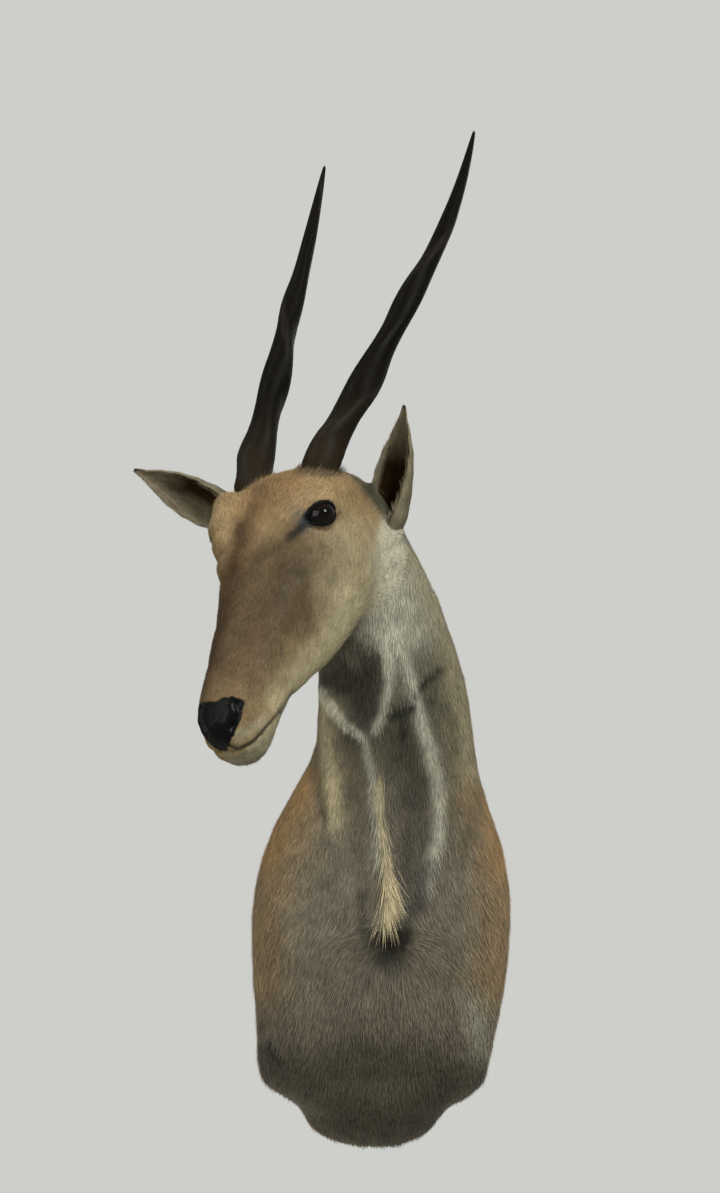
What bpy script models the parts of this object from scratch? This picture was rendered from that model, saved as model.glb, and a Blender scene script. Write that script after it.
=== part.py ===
"""An eland's head, neck and shoulders, mounted to hang on a wall. Metres, +Z up.

The origin is on the wall, in the middle of the backboard's back face. The animal looks out
towards -Y, with its head turned to the viewer's left, -X, and bent steeply down.
"""

from math import atan2, cos, exp, pi, radians, sin
from typing import NamedTuple

import bmesh
import bpy
from mathutils import Matrix, Vector

CLEARANCE = 0.0003
# How far cutters run out past the wall.
OVERRUN = 0.010
HIDE_BACK = -0.002

# The head: its poll is the middle of the crown between the horns.
POLL = Vector((-0.149, -0.430, 0.716))
HEAD_YAW = radians(22.0)
HEAD_PITCH = radians(48.0)
HEAD_ROLL = radians(12.0)
HEAD_RING_POINTS = 28
HEAD_RING_GAP = 0.0215
# A swelling on the side fades out over this distance from the middle of the face.
SWELLING_FADE = 0.02

# The eyes, along the face, out to the side and up from the poll.
EYE_PLACE = (0.086, 0.083, -0.025)
EYE_RADIUS = 0.0205
EYE_AROUND = 18
EYE_UPWARD = 11
EYE_CLEARANCE = 0.0009

# The horns.
HORN_BASE_RADIUS = 0.0251
HORN_TIP_RADIUS = 0.0016
HORN_TAPER = 0.74
HORN_ROOT_TAPER = 5.0
HORN_BOW_LATENESS = 1.25
HORN_TURNS = 2.08
HORN_KEEL = 0.34
HORN_KEEL_WIDTH = 0.8
HORN_KEEL_MEAN = 0.38
HORN_SECOND_KEEL = 0.35
# The keels rise over the first share of the length, and fade out before the last.
HORN_KEEL_START = 0.08
HORN_KEEL_END = 0.80
HORN_KEEL_FADE = 0.30
HORN_SOCKET_DEPTH = 0.022
HORN_RINGS = 32
HORN_RING_POINTS = 16
HORN_SOCKET_RINGS = 8

# The ears.
EAR_THICKNESS = 0.0045
EAR_LENGTHWISE = 9
EAR_CROSSWISE = 8

# The neck and trunk.
TRUNK_RING_POINTS = 36
TRUNK_RING_GAP = 0.036

# The board let into the back, with a rebate that the hide's edge is folded into.
BOARD_HALF_WIDTH = 0.145
BOARD_HALF_HEIGHT = 0.235
BOARD_MIDDLE_HEIGHT = 0.020
BOARD_THICKNESS = 0.018
BOARD_REBATE_DEPTH = 0.004
BOARD_REBATE_WIDTH = 0.016
BOARD_SQUARENESS = 2.8
BOARD_POINTS = 44

# The keyhole plate let into the board.
PLATE_HEIGHT_ON_WALL = 0.150
PLATE_WIDTH = 0.040
PLATE_HEIGHT = 0.090
PLATE_THICKNESS = 0.003
PLATE_BACK = -0.0005
KEYHOLE_RADIUS = 0.008
KEYHOLE_SLOT_WIDTH = 0.008
KEYHOLE_SLOT_HEIGHT = 0.020
POCKET_WIDTH = 0.024
POCKET_HEIGHT = 0.046
POCKET_DEPTH = 0.010
SCREW_SPACING = 0.070
SCREW_HEAD_RADIUS = 0.0042
SCREW_HEAD_HEIGHT = 0.0018
SCREW_SHANK_RADIUS = 0.0019
SCREW_LENGTH = 0.013
ROUND_POINTS = 16


class TrunkSlice(NamedTuple):
    """A level slice of the trunk or neck."""

    height: float
    left: float
    right: float
    front: float
    back: float
    squareness: float
    turn: float


class HeadSection(NamedTuple):
    """A section square to the line of the face, measured from the poll."""

    along: float
    half_width: float
    top: float
    widest: float
    bottom: float
    squareness: float


class Swelling(NamedTuple):
    """A soft rise of the skin on both sides of the head, or a hollow where it is negative."""

    along: float
    up: float
    spread_along: float
    spread_up: float
    rise: float


class EarRow(NamedTuple):
    """Radius of an ear's roll, and the half angle that it goes round, part of the way up."""

    share: float
    radius: float
    half_angle: float


class EarShape(NamedTuple):
    """Where an ear stands, and which way its hollow faces."""

    root: Vector
    tip: Vector
    facing: Vector
    bend: float
    width: float


class HornShape(NamedTuple):
    """Where a horn stands on the head, where its tip is, its bow, its double bend and its twist."""

    place: Vector
    tip: Vector
    bow: float
    sway: float
    twist: float
    first_keel: float


# Tongue of the brisket, leg cut-outs, shoulders, then up the neck to the nape. The back of
# the lower slices runs through the wall, where the form is sawn off flat.
TRUNK_SLICES = (
    TrunkSlice(-0.319, -0.066, 0.046, -0.135, 0.060, 2.2, 0),
    TrunkSlice(-0.310, -0.100, 0.073, -0.160, 0.080, 2.2, 0),
    TrunkSlice(-0.294, -0.117, 0.087, -0.182, 0.090, 2.3, 0),
    TrunkSlice(-0.272, -0.128, 0.100, -0.203, 0.100, 2.4, 0),
    TrunkSlice(-0.251, -0.141, 0.120, -0.221, 0.100, 2.5, 0),
    TrunkSlice(-0.236, -0.163, 0.147, -0.233, 0.100, 2.6, 0),
    TrunkSlice(-0.216, -0.190, 0.165, -0.246, 0.100, 2.6, 0),
    TrunkSlice(-0.187, -0.196, 0.171, -0.262, 0.100, 2.6, 0),
    TrunkSlice(-0.138, -0.196, 0.179, -0.288, 0.100, 2.6, 0),
    TrunkSlice(-0.063, -0.200, 0.192, -0.318, 0.100, 2.6, 0),
    TrunkSlice(0.028, -0.203, 0.200, -0.332, 0.100, 2.5, 0),
    TrunkSlice(0.100, -0.194, 0.197, -0.322, 0.095, 2.5, 0),
    TrunkSlice(0.160, -0.175, 0.184, -0.308, 0.085, 2.4, -2),
    TrunkSlice(0.223, -0.144, 0.162, -0.298, 0.070, 2.3, -4),
    TrunkSlice(0.285, -0.108, 0.147, -0.298, 0.050, 2.2, -6),
    TrunkSlice(0.340, -0.099, 0.140, -0.303, 0.030, 2.2, -8),
    TrunkSlice(0.415, -0.096, 0.124, -0.318, -0.010, 2.1, -12),
    TrunkSlice(0.480, -0.103, 0.101, -0.338, -0.060, 2.1, -16),
    TrunkSlice(0.540, -0.120, 0.078, -0.360, -0.115, 2.1, -20),
    TrunkSlice(0.600, -0.150, 0.048, -0.385, -0.170, 2.1, -24),
    TrunkSlice(0.645, -0.170, 0.026, -0.395, -0.220, 2.2, -26),
    TrunkSlice(0.678, -0.165, 0.002, -0.390, -0.262, 2.1, -27),
    TrunkSlice(0.694, -0.140, -0.030, -0.375, -0.298, 2.0, -27),
)

# The breastbone's ridge down the middle of the chest, and the hollows beside it.
BRISKET_MIDDLE = 0.004
BRISKET_RIDGE = 0.022
BRISKET_HALF_WIDTH = 0.034
BRISKET_HEIGHT = -0.02
BRISKET_HALF_HEIGHT = 0.20
CHEST_HOLLOW = 0.012
CHEST_HOLLOW_OUT = 0.090
CHEST_HOLLOW_HALF_WIDTH = 0.032
CHEST_HOLLOW_HEIGHT = 0.02
CHEST_HOLLOW_HALF_HEIGHT = 0.16
SHOULDER_POINT = 0.014
SHOULDER_POINT_OUT = 0.148
SHOULDER_POINT_HALF_WIDTH = 0.040
SHOULDER_POINT_HEIGHT = -0.03
SHOULDER_POINT_HALF_HEIGHT = 0.13

HEAD_SECTIONS = (
    HeadSection(-0.090, 0.045, -0.110, -0.130, -0.155, 2.0),
    HeadSection(-0.070, 0.062, -0.080, -0.115, -0.185, 2.1),
    HeadSection(-0.045, 0.076, -0.050, -0.098, -0.212, 2.3),
    HeadSection(-0.022, 0.084, -0.021, -0.084, -0.226, 2.6),
    HeadSection(0.008, 0.088, -0.003, -0.072, -0.234, 2.8),
    HeadSection(0.045, 0.092, 0.003, -0.066, -0.238, 2.6),
    HeadSection(0.082, 0.094, 0.002, -0.062, -0.238, 2.5),
    HeadSection(0.120, 0.090, -0.005, -0.064, -0.234, 2.4),
    HeadSection(0.163, 0.082, -0.013, -0.070, -0.225, 2.3),
    HeadSection(0.211, 0.072, -0.020, -0.076, -0.208, 2.3),
    HeadSection(0.259, 0.063, -0.025, -0.080, -0.185, 2.3),
    HeadSection(0.307, 0.056, -0.030, -0.082, -0.161, 2.4),
    HeadSection(0.355, 0.051, -0.035, -0.088, -0.154, 2.6),
    HeadSection(0.388, 0.048, -0.040, -0.092, -0.157, 2.6),
    HeadSection(0.409, 0.044, -0.048, -0.095, -0.156, 2.5),
    HeadSection(0.423, 0.037, -0.057, -0.100, -0.152, 2.3),
    HeadSection(0.433, 0.027, -0.070, -0.106, -0.143, 2.2),
    HeadSection(0.438, 0.014, -0.086, -0.110, -0.131, 2.0),
)

HEAD_SWELLINGS = (
    # Brow over the eye
    Swelling(0.068, -0.012, 0.036, 0.026, 0.020),
    # Cheekbone below the eye
    Swelling(0.128, -0.070, 0.034, 0.018, 0.005),
    # Chewing muscle on the jaw
    Swelling(0.075, -0.150, 0.060, 0.045, 0.008),
    # Hollow between cheek and snout
    Swelling(0.235, -0.105, 0.050, 0.028, -0.006),
    # Wing of the nostril
    Swelling(0.416, -0.066, 0.018, 0.013, 0.005),
    # Upper lip
    Swelling(0.392, -0.100, 0.028, 0.014, 0.004),
)

EAR_ROWS = (
    EarRow(0.00, 0.020, 150.0),
    EarRow(0.20, 0.025, 125.0),
    EarRow(0.45, 0.027, 100.0),
    EarRow(0.65, 0.023, 82.0),
    EarRow(0.82, 0.0135, 68.0),
    EarRow(0.93, 0.0065, 58.0),
    EarRow(1.00, 0.0028, 52.0),
)
EAR_RIGHT = EarShape(
    root=Vector((0.006, -0.338, 0.617)),
    tip=Vector((0.029, -0.365, 0.812)),
    facing=Vector((-0.66, -0.75, 0.0)),
    bend=-0.006,
    width=1.12,
)
EAR_LEFT = EarShape(
    root=Vector((-0.200, -0.345, 0.642)),
    tip=Vector((-0.363, -0.362, 0.717)),
    facing=Vector((0.10, -0.90, -0.42)),
    bend=-0.002,
    width=1.12,
)

HORN_RIGHT = HornShape(
    place=Vector((-0.016, 0.0455, -0.030)),
    tip=Vector((0.142, -0.160, 1.249)),
    bow=0.0266,
    sway=-0.0050,
    twist=1,
    first_keel=radians(219),
)
HORN_LEFT = HornShape(
    place=Vector((-0.002, -0.0655, -0.030)),
    tip=Vector((-0.088, -0.145, 1.198)),
    bow=-0.0014,
    sway=-0.0034,
    twist=-1,
    first_keel=radians(287),
)


def head_matrix():
    """The head's own frame: along the face to the nose, out to the right, and up off the brow."""
    heading = Vector((-sin(HEAD_YAW), -cos(HEAD_YAW), 0))
    level_right = Vector((cos(HEAD_YAW), -sin(HEAD_YAW), 0))
    along = heading * cos(HEAD_PITCH) - Vector((0, 0, sin(HEAD_PITCH)))
    level_up = heading * sin(HEAD_PITCH) + Vector((0, 0, cos(HEAD_PITCH)))
    right = level_right * cos(HEAD_ROLL) + level_up * sin(HEAD_ROLL)
    up = level_up * cos(HEAD_ROLL) - level_right * sin(HEAD_ROLL)
    frame = Matrix((along, right, up)).transposed().to_4x4()
    return Matrix.Translation(POLL) @ frame


HEAD = head_matrix()


def smooth_between(rows, place):
    """The row at a place between given rows, on a cubic through them. A row's first value is its place."""
    count = len(rows)
    here = max(i for i in range(count - 1) if i == 0 or rows[i][0] <= place)
    first, second = rows[here], rows[here + 1]
    before = rows[max(here - 1, 0)]
    after = rows[min(here + 2, count - 1)]
    span = second[0] - first[0]
    t = min(max((place - first[0]) / span, 0.0), 1.0)
    blended = []
    for a, b, c, d in zip(before, first, second, after):
        slope_first = (c - a) / (second[0] - before[0]) * span
        slope_second = (d - b) / (after[0] - first[0]) * span
        value = (2 * t**3 - 3 * t**2 + 1) * b + (t**3 - 2 * t**2 + t) * slope_first
        value += (3 * t**2 - 2 * t**3) * c + (t**3 - t**2) * slope_second
        blended.append(value)
    return type(first)(*blended)


def filled_in(rows, gap):
    """Rows no further apart than the gap, with the given ones kept."""
    full = []
    for first, second in zip(rows, rows[1:]):
        steps = max(1, round((second[0] - first[0]) / gap))
        full += [smooth_between(rows, first[0] + (second[0] - first[0]) * k / steps) for k in range(steps)]
    return [*full, rows[-1]]


def squared(value, squareness):
    """A sine or cosine drawn out towards a square's corner."""
    return (1 if value >= 0 else -1) * abs(value) ** (2 / squareness)


def bell(offset, spread):
    """A bell curve of height 1."""
    return exp(-((offset / spread) ** 2))


def chest_relief(x, height):
    """How far the chest stands forward of its plain slice: ridge, hollows and points of shoulder."""
    out = abs(x - BRISKET_MIDDLE)
    ridge = BRISKET_RIDGE * bell(out, BRISKET_HALF_WIDTH)
    ridge *= bell(height - BRISKET_HEIGHT, BRISKET_HALF_HEIGHT)
    hollow = CHEST_HOLLOW * bell(out - CHEST_HOLLOW_OUT, CHEST_HOLLOW_HALF_WIDTH)
    hollow *= bell(height - CHEST_HOLLOW_HEIGHT, CHEST_HOLLOW_HALF_HEIGHT)
    point = SHOULDER_POINT * bell(out - SHOULDER_POINT_OUT, SHOULDER_POINT_HALF_WIDTH)
    point *= bell(height - SHOULDER_POINT_HEIGHT, SHOULDER_POINT_HALF_HEIGHT)
    return ridge - hollow + point


def trunk_ring(cut):
    """The points of one level slice, anticlockwise from the viewer's right, seen from above."""
    middle = Vector(((cut.left + cut.right) / 2, (cut.front + cut.back) / 2, cut.height))
    half_width = (cut.right - cut.left) / 2
    half_depth = (cut.back - cut.front) / 2
    turn = Matrix.Rotation(radians(cut.turn), 3, "Z")
    ring = []
    for k in range(TRUNK_RING_POINTS):
        angle = 2 * pi * k / TRUNK_RING_POINTS
        x = half_width * squared(cos(angle), cut.squareness)
        y = half_depth * squared(sin(angle), cut.squareness)
        if y < 0:
            y -= chest_relief(middle.x + x, cut.height) * min(1.0, -2 * y / half_depth)
        ring.append(middle + turn @ Vector((x, y, 0)))
    return ring


def head_ring(section):
    """The points of one section of the head, anticlockwise seen from the nose."""
    ring = []
    for k in range(HEAD_RING_POINTS):
        angle = 2 * pi * k / HEAD_RING_POINTS
        out = section.half_width * squared(cos(angle), section.squareness)
        above = sin(angle) >= 0
        reach = (section.top if above else section.bottom) - section.widest
        up = section.widest + abs(reach) * squared(sin(angle), section.squareness)
        rise = sum(
            s.rise * bell(section.along - s.along, s.spread_along) * bell(up - s.up, s.spread_up)
            for s in HEAD_SWELLINGS
        )
        out += rise * min(1.0, abs(out) / SWELLING_FADE) * (1 if out > 0 else -1)
        ring.append(HEAD @ Vector((section.along, out, up)))
    return ring


def horn_base(horn):
    """The middle of a horn where it leaves the crown."""
    return HEAD @ horn.place


def horn_axis(horn, t):
    """The middle of a horn at t, from 0 at the crown to 1 at the tip."""
    side = HEAD.col[1].to_3d()
    out = horn.bow * sin(pi * max(t, 0) ** HORN_BOW_LATENESS) + horn.sway * sin(2 * pi * max(t, 0))
    return horn_base(horn).lerp(horn.tip, t) + side * out


def horn_ring(horn, t, spare=0.0):
    """The points of one section of a horn, whose keel climbs round it and fades towards the tip."""
    middle = horn_axis(horn, t)
    forward = (horn_axis(horn, t + 0.01) - horn_axis(horn, t - 0.01)).normalized()
    across = forward.cross(HEAD.col[1].to_3d()).normalized()
    side = across.cross(forward)
    radius = HORN_TIP_RADIUS + HORN_BASE_RADIUS * max(1 - max(t, 0), 0) ** HORN_TAPER
    radius *= 1 + min(t, 0) * HORN_ROOT_TAPER
    keel_angle = horn.first_keel + horn.twist * 2 * pi * HORN_TURNS * t
    started = min(1, max(t, 0) / HORN_KEEL_START)
    strength = HORN_KEEL * started * min(1, max(0, (HORN_KEEL_END - t) / HORN_KEEL_FADE))
    ring = []
    for k in range(HORN_RING_POINTS):
        angle = 2 * pi * k / HORN_RING_POINTS
        off_keel = atan2(sin(angle - keel_angle), cos(angle - keel_angle))
        off_back = atan2(sin(angle - keel_angle - pi), cos(angle - keel_angle - pi))
        swell = bell(off_keel, HORN_KEEL_WIDTH) + HORN_SECOND_KEEL * bell(off_back, HORN_KEEL_WIDTH)
        reach = radius * (1 + strength * (swell - HORN_KEEL_MEAN)) + spare
        ring.append(middle + (side * cos(angle) + across * sin(angle)) * reach)
    return ring


def ear_rows(ear):
    """Rows of points across an ear's inner skin, from the rolled root to the flat tip."""
    axis = ear.tip - ear.root
    facing = (ear.facing - axis.normalized() * ear.facing.dot(axis.normalized())).normalized()
    side = axis.normalized().cross(facing)
    rows = []
    for k in range(EAR_LENGTHWISE + 1):
        t = k / EAR_LENGTHWISE
        at = smooth_between(EAR_ROWS, t)
        middle = ear.root + axis * t + side * ear.bend * sin(pi * t)
        row = []
        for j in range(EAR_CROSSWISE + 1):
            angle = radians(at.half_angle) * (2 * j / EAR_CROSSWISE - 1)
            row.append(middle + (side * sin(angle) - facing * cos(angle)) * at.radius * ear.width)
        rows.append(row)
    return rows


def oval_ring(half_width, half_height, y, inset=0.0):
    """Points of the board's outline at depth y, set in from its edge."""
    ring = []
    for k in range(BOARD_POINTS):
        angle = 2 * pi * k / BOARD_POINTS
        x = (half_width - inset) * squared(cos(angle), BOARD_SQUARENESS)
        z = (half_height - inset) * squared(sin(angle), BOARD_SQUARENESS)
        ring.append(Vector((x, y, BOARD_MIDDLE_HEIGHT + z)))
    return ring


def round_ring(radius, y, x, z):
    """A circle facing the wall."""
    angles = [2 * pi * k / ROUND_POINTS for k in range(ROUND_POINTS)]
    return [Vector((x + radius * cos(a), y, z + radius * sin(a))) for a in angles]


def loft(name, rings):
    """A closed solid through rings of equally many points, with both ends closed."""
    shape = bmesh.new()
    made = [[shape.verts.new(point) for point in ring] for ring in rings]
    count = len(made[0])
    for lower, upper in zip(made, made[1:]):
        for k in range(count):
            shape.faces.new((lower[k], lower[(k + 1) % count], upper[(k + 1) % count], upper[k]))
    shape.faces.new(made[0][::-1])
    shape.faces.new(made[-1])
    # Fixed diagonals, so that a socket's faces run beside those of the piece in it.
    bmesh.ops.triangulate(shape, faces=shape.faces, quad_method="FIXED")
    bmesh.ops.recalc_face_normals(shape, faces=shape.faces)
    return as_object(name, shape)


def sheet(name, rows):
    """An open surface through rows of equally many points."""
    shape = bmesh.new()
    made = [[shape.verts.new(point) for point in row] for row in rows]
    for lower, upper in zip(made, made[1:]):
        for k in range(len(lower) - 1):
            shape.faces.new((lower[k], lower[k + 1], upper[k + 1], upper[k]))
    return as_object(name, shape)


def block(name, low, high):
    """A box between two corners."""
    shape = bmesh.new()
    size = Vector(high) - Vector(low)
    middle = (Vector(high) + Vector(low)) / 2
    bmesh.ops.create_cube(shape, size=1, matrix=Matrix.Translation(middle) @ Matrix.Diagonal((*size, 1)))
    return as_object(name, shape)


def ball(name, centre, radius):
    """A sphere whose poles lie along the head's own sideways axis."""
    shape = bmesh.new()
    turn = HEAD.to_3x3().to_4x4() @ Matrix.Rotation(radians(-90), 4, "X")
    turn = Matrix.Translation(centre) @ turn
    bmesh.ops.create_uvsphere(shape, u_segments=EYE_AROUND, v_segments=EYE_UPWARD, radius=radius, matrix=turn)
    return as_object(name, shape)


def as_object(name, shape):
    """A mesh object in the helpers' collection, which a finished part leaves."""
    mesh = bpy.data.meshes.new(name)
    shape.to_mesh(mesh)
    shape.free()
    made = bpy.data.objects.new(name, mesh)
    helpers.objects.link(made)
    made.hide_render = True
    made.display_type = "WIRE"
    return made


def combine(target, operation, *others):
    """Adds exact Booleans that stay on the target as modifiers."""
    for other in others:
        modifier = target.modifiers.new(f"{operation.lower()} {other.name}", "BOOLEAN")
        modifier.operation = operation
        modifier.solver = "EXACT"
        modifier.object = other


def finish(piece, material, smooth_angle=40):
    """Moves a piece from the helpers to the mount, with its material and smooth shading."""
    helpers.objects.unlink(piece)
    mount.objects.link(piece)
    piece.hide_render = False
    piece.display_type = "TEXTURED"
    piece.data.materials.append(material)
    piece.data.shade_smooth()
    piece.data.set_sharp_from_angle(angle=radians(smooth_angle))


def new_material(name, colour, roughness, metallic=0.0):
    """A plain Principled material."""
    material = bpy.data.materials.new(name)
    material.use_nodes = True
    shader = material.node_tree.nodes["Principled BSDF"]
    shader.inputs["Base Color"].default_value = (*colour, 1)
    shader.inputs["Roughness"].default_value = roughness
    shader.inputs["Metallic"].default_value = metallic
    return material


def build_horn(name, horn, material):
    """A horn that stands in its socket, and the cutter for that socket."""
    depth = HORN_SOCKET_DEPTH / (horn.tip - horn_base(horn)).length
    steps = [-depth + (1 + depth) * k / (HORN_RINGS - 1) for k in range(HORN_RINGS)]
    made = loft(name, [horn_ring(horn, t) for t in steps])
    finish(made, material)
    socket_steps = [-depth - CLEARANCE / horn.tip.z, *steps[1:HORN_SOCKET_RINGS]]
    return loft(f"{name} socket", [horn_ring(horn, t, CLEARANCE) for t in socket_steps])


def build_eye(name, side, material):
    """A glass eye, and the cutter for its socket."""
    along, out, up = EYE_PLACE
    centre = HEAD @ Vector((along, side * out, up))
    made = ball(name, centre, EYE_RADIUS)
    finish(made, material)
    return ball(f"{name} socket", centre, EYE_RADIUS + EYE_CLEARANCE)


def build_ear(name, ear):
    """An ear as a cupped leaf of even thickness."""
    made = sheet(name, ear_rows(ear))
    wall = made.modifiers.new("thickness", "SOLIDIFY")
    wall.thickness = EAR_THICKNESS
    wall.offset = 0
    return made


def build_screw(name, side, material):
    """A plate screw, and the cutter for its hole."""
    z = PLATE_HEIGHT_ON_WALL + side * SCREW_SPACING / 2

    def profile(spare):
        head_back = PLATE_BACK + spare
        head_front = PLATE_BACK - SCREW_HEAD_HEIGHT - spare
        end = PLATE_BACK - SCREW_LENGTH - spare
        return [
            round_ring(SCREW_HEAD_RADIUS + spare, head_back, 0, z),
            round_ring(SCREW_SHANK_RADIUS + spare, head_front, 0, z),
            round_ring(SCREW_SHANK_RADIUS + spare, end, 0, z),
        ]

    made = loft(name, profile(0))
    finish(made, material)
    return loft(f"{name} hole", profile(CLEARANCE))


def board_rings(spare, back):
    """The board's outline from its rebated back to its front."""
    step = -BOARD_REBATE_DEPTH + spare
    front = -BOARD_THICKNESS - spare
    wide = (BOARD_HALF_WIDTH + spare, BOARD_HALF_HEIGHT + spare)
    return [
        oval_ring(*wide, back, BOARD_REBATE_WIDTH),
        oval_ring(*wide, step, BOARD_REBATE_WIDTH),
        oval_ring(*wide, step),
        oval_ring(*wide, front),
    ]


def build_back(cape, wood, steel):
    """The backboard, its keyhole plate and the plate's screws, and their room in the hide."""
    board = loft("backboard", board_rings(0, 0))
    combine(cape, "DIFFERENCE", loft("board room", board_rings(CLEARANCE, OVERRUN)))
    plate_low = PLATE_HEIGHT_ON_WALL - PLATE_HEIGHT / 2
    plate_high = PLATE_HEIGHT_ON_WALL + PLATE_HEIGHT / 2
    plate_front = PLATE_BACK - PLATE_THICKNESS
    plate = block("hanger_plate", (-PLATE_WIDTH / 2, plate_front, plate_low), (PLATE_WIDTH / 2, PLATE_BACK, plate_high))
    seat = block(
        "plate seat",
        (-PLATE_WIDTH / 2 - CLEARANCE, plate_front - CLEARANCE, plate_low - CLEARANCE),
        (PLATE_WIDTH / 2 + CLEARANCE, OVERRUN, plate_high + CLEARANCE),
    )
    pocket_low = PLATE_HEIGHT_ON_WALL - POCKET_HEIGHT / 2
    pocket = block(
        "hanger pocket",
        (-POCKET_WIDTH / 2, plate_front - POCKET_DEPTH, pocket_low),
        (POCKET_WIDTH / 2, OVERRUN, pocket_low + POCKET_HEIGHT),
    )
    entry_height = PLATE_HEIGHT_ON_WALL - KEYHOLE_RADIUS
    ends = (-OVERRUN, OVERRUN)
    entry = loft("keyhole entry", [round_ring(KEYHOLE_RADIUS, y, 0, entry_height) for y in ends])
    slot = block(
        "keyhole slot",
        (-KEYHOLE_SLOT_WIDTH / 2, -OVERRUN, entry_height),
        (KEYHOLE_SLOT_WIDTH / 2, OVERRUN, entry_height + KEYHOLE_SLOT_HEIGHT),
    )
    combine(plate, "DIFFERENCE", entry, slot)
    combine(board, "DIFFERENCE", seat, pocket)
    for name, side in (("hanger_screw_upper", 1), ("hanger_screw_lower", -1)):
        hole = build_screw(name, side, steel)
        combine(plate, "DIFFERENCE", hole)
        combine(board, "DIFFERENCE", hole)
    finish(board, wood)
    finish(plate, steel)


def build_cape(hide, horn, glass):
    """The whole hide over its form: trunk, neck, head and ears in one, with its sockets."""
    cape = loft("cape", [trunk_ring(cut) for cut in filled_in(TRUNK_SLICES, TRUNK_RING_GAP)])
    head = loft("head form", [head_ring(s) for s in filled_in(HEAD_SECTIONS, HEAD_RING_GAP)])
    ears = [build_ear("ear form right", EAR_RIGHT), build_ear("ear form left", EAR_LEFT)]
    combine(cape, "UNION", head, *ears)
    sockets = [
        build_horn("horn_right", HORN_RIGHT, horn),
        build_horn("horn_left", HORN_LEFT, horn),
        build_eye("eye_right", 1, glass),
        build_eye("eye_left", -1, glass),
    ]
    wall = block("wall", (-1, HIDE_BACK, -1), (1, 1, 1))
    combine(cape, "DIFFERENCE", *sockets, wall)
    finish(cape, hide)
    return cape


for leftover in list(bpy.data.objects):
    bpy.data.objects.remove(leftover)
mount = bpy.data.collections.new("eland shoulder mount")
helpers = bpy.data.collections.new("helpers")
bpy.context.scene.collection.children.link(mount)
bpy.context.scene.collection.children.link(helpers)
helpers.hide_render = True

hide_finish = new_material("short tan hide", (0.20, 0.15, 0.09), 0.85)
horn_finish = new_material("dark horn", (0.02, 0.016, 0.011), 0.5)
glass_finish = new_material("dark glass", (0.012, 0.008, 0.006), 0.05)
wood_finish = new_material("plywood", (0.50, 0.36, 0.20), 0.7)
steel_finish = new_material("zinc-plated steel", (0.55, 0.55, 0.56), 0.4, 1.0)

whole_hide = build_cape(hide_finish, horn_finish, glass_finish)
build_back(whole_hide, wood_finish, steel_finish)
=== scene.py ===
"""The looks of an eland shoulder mount, dressed over its solids. Metres, +Z up, facing -Y."""
import logging
from dataclasses import dataclass, field
from enum import Enum
from math import cos, pi, radians, sin
from typing import Sequence

import bmesh
import bpy
import numpy as np
from mathutils import Matrix, Vector
from mathutils.bvhtree import BVHTree
from mathutils.kdtree import KDTree


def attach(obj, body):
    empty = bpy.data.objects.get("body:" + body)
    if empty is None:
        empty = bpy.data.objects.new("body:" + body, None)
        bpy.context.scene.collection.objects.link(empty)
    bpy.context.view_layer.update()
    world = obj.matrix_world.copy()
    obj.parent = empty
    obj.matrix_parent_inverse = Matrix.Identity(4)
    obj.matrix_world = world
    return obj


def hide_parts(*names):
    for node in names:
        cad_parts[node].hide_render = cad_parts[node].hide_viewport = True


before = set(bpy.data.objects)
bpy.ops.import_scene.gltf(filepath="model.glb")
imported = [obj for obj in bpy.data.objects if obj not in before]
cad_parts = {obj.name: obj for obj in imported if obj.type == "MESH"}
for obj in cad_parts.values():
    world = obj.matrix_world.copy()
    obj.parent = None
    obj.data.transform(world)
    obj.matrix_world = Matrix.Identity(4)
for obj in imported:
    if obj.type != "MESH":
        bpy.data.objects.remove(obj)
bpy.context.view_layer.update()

log = logging.getLogger("eland")

Place = tuple[float, float]
Spot = tuple[float, float, float]


def shade(red: float, green: float, blue: float) -> Spot:
    """Turns a display colour, 0 to 255, into a linear one.

    Args:
        red: Red as displayed.
        green: Green as displayed.
        blue: Blue as displayed.

    Returns:
        The linear red, green and blue.
    """
    shares = np.array((red, green, blue)) / 255
    linear = np.where(shares <= 0.04045, shares / 12.92, ((shares + 0.055) / 1.055) ** 2.4)
    return tuple(float(value) for value in linear)


class Tone(Enum):
    """The colours of the mount, as the eye sees them in soft light; some stand for painted shade in grooves and hollows
    and for painted highlight on lit ridges.
    """

    FOREHEAD = shade(156, 132, 92)
    RUST = shade(150, 116, 76)
    BLOND = shade(178, 154, 112)
    CHEEK = shade(110, 94, 70)
    CHEEK_DARK = shade(60, 50, 34)
    SNOUT = shade(106, 88, 64)
    SNOUT_DARK = shade(78, 58, 38)
    MUZZLE = shade(146, 124, 92)
    OLIVE = shade(196, 186, 148)
    LIP_WHITE = shade(176, 166, 136)
    LIP_LOWER = shade(168, 162, 134)
    PALE_GREY = shade(216, 214, 190)
    NECK = shade(94, 91, 73)
    # Painted highlight on the lit sides of the neck.
    NECK_SIDE = shade(190, 178, 142)
    # Painted shade in the recess between jaw and neck.
    THROAT = shade(74, 70, 60)
    # Painted shade in the groove beside the neck's muscle ridge.
    HOLLOW = shade(72, 68, 57)
    CHEST = shade(122, 114, 96)
    # Painted shade in the chest's creases and along its bottom.
    CHEST_LOW = shade(112, 104, 86)
    # Painted shade, the deepest: in hollows, in the whorl, under the chest and under the leg stubs.
    BRISKET = shade(24, 23, 19)
    TONGUE = shade(70, 64, 49)
    SHOULDER = shade(170, 144, 104)
    TAN = shade(182, 146, 94)
    MANE = shade(222, 206, 160)
    # Real stains on the neck and chest, and painted shade in the crease of the mouth.
    STAIN = shade(30, 30, 27)
    LID = shade(26, 26, 26)
    LID_GREY = shade(74, 80, 82)
    EAR_BACK = shade(124, 117, 94)
    EAR_RIM = shade(158, 148, 120)
    EAR_DEEP = shade(50, 33, 12)
    # Dark bare skin at the eye's front corner, and painted shade at its rear corner.
    LEATHER = shade(8, 11, 9)
    RAWHIDE = shade(176, 150, 112)


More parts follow.
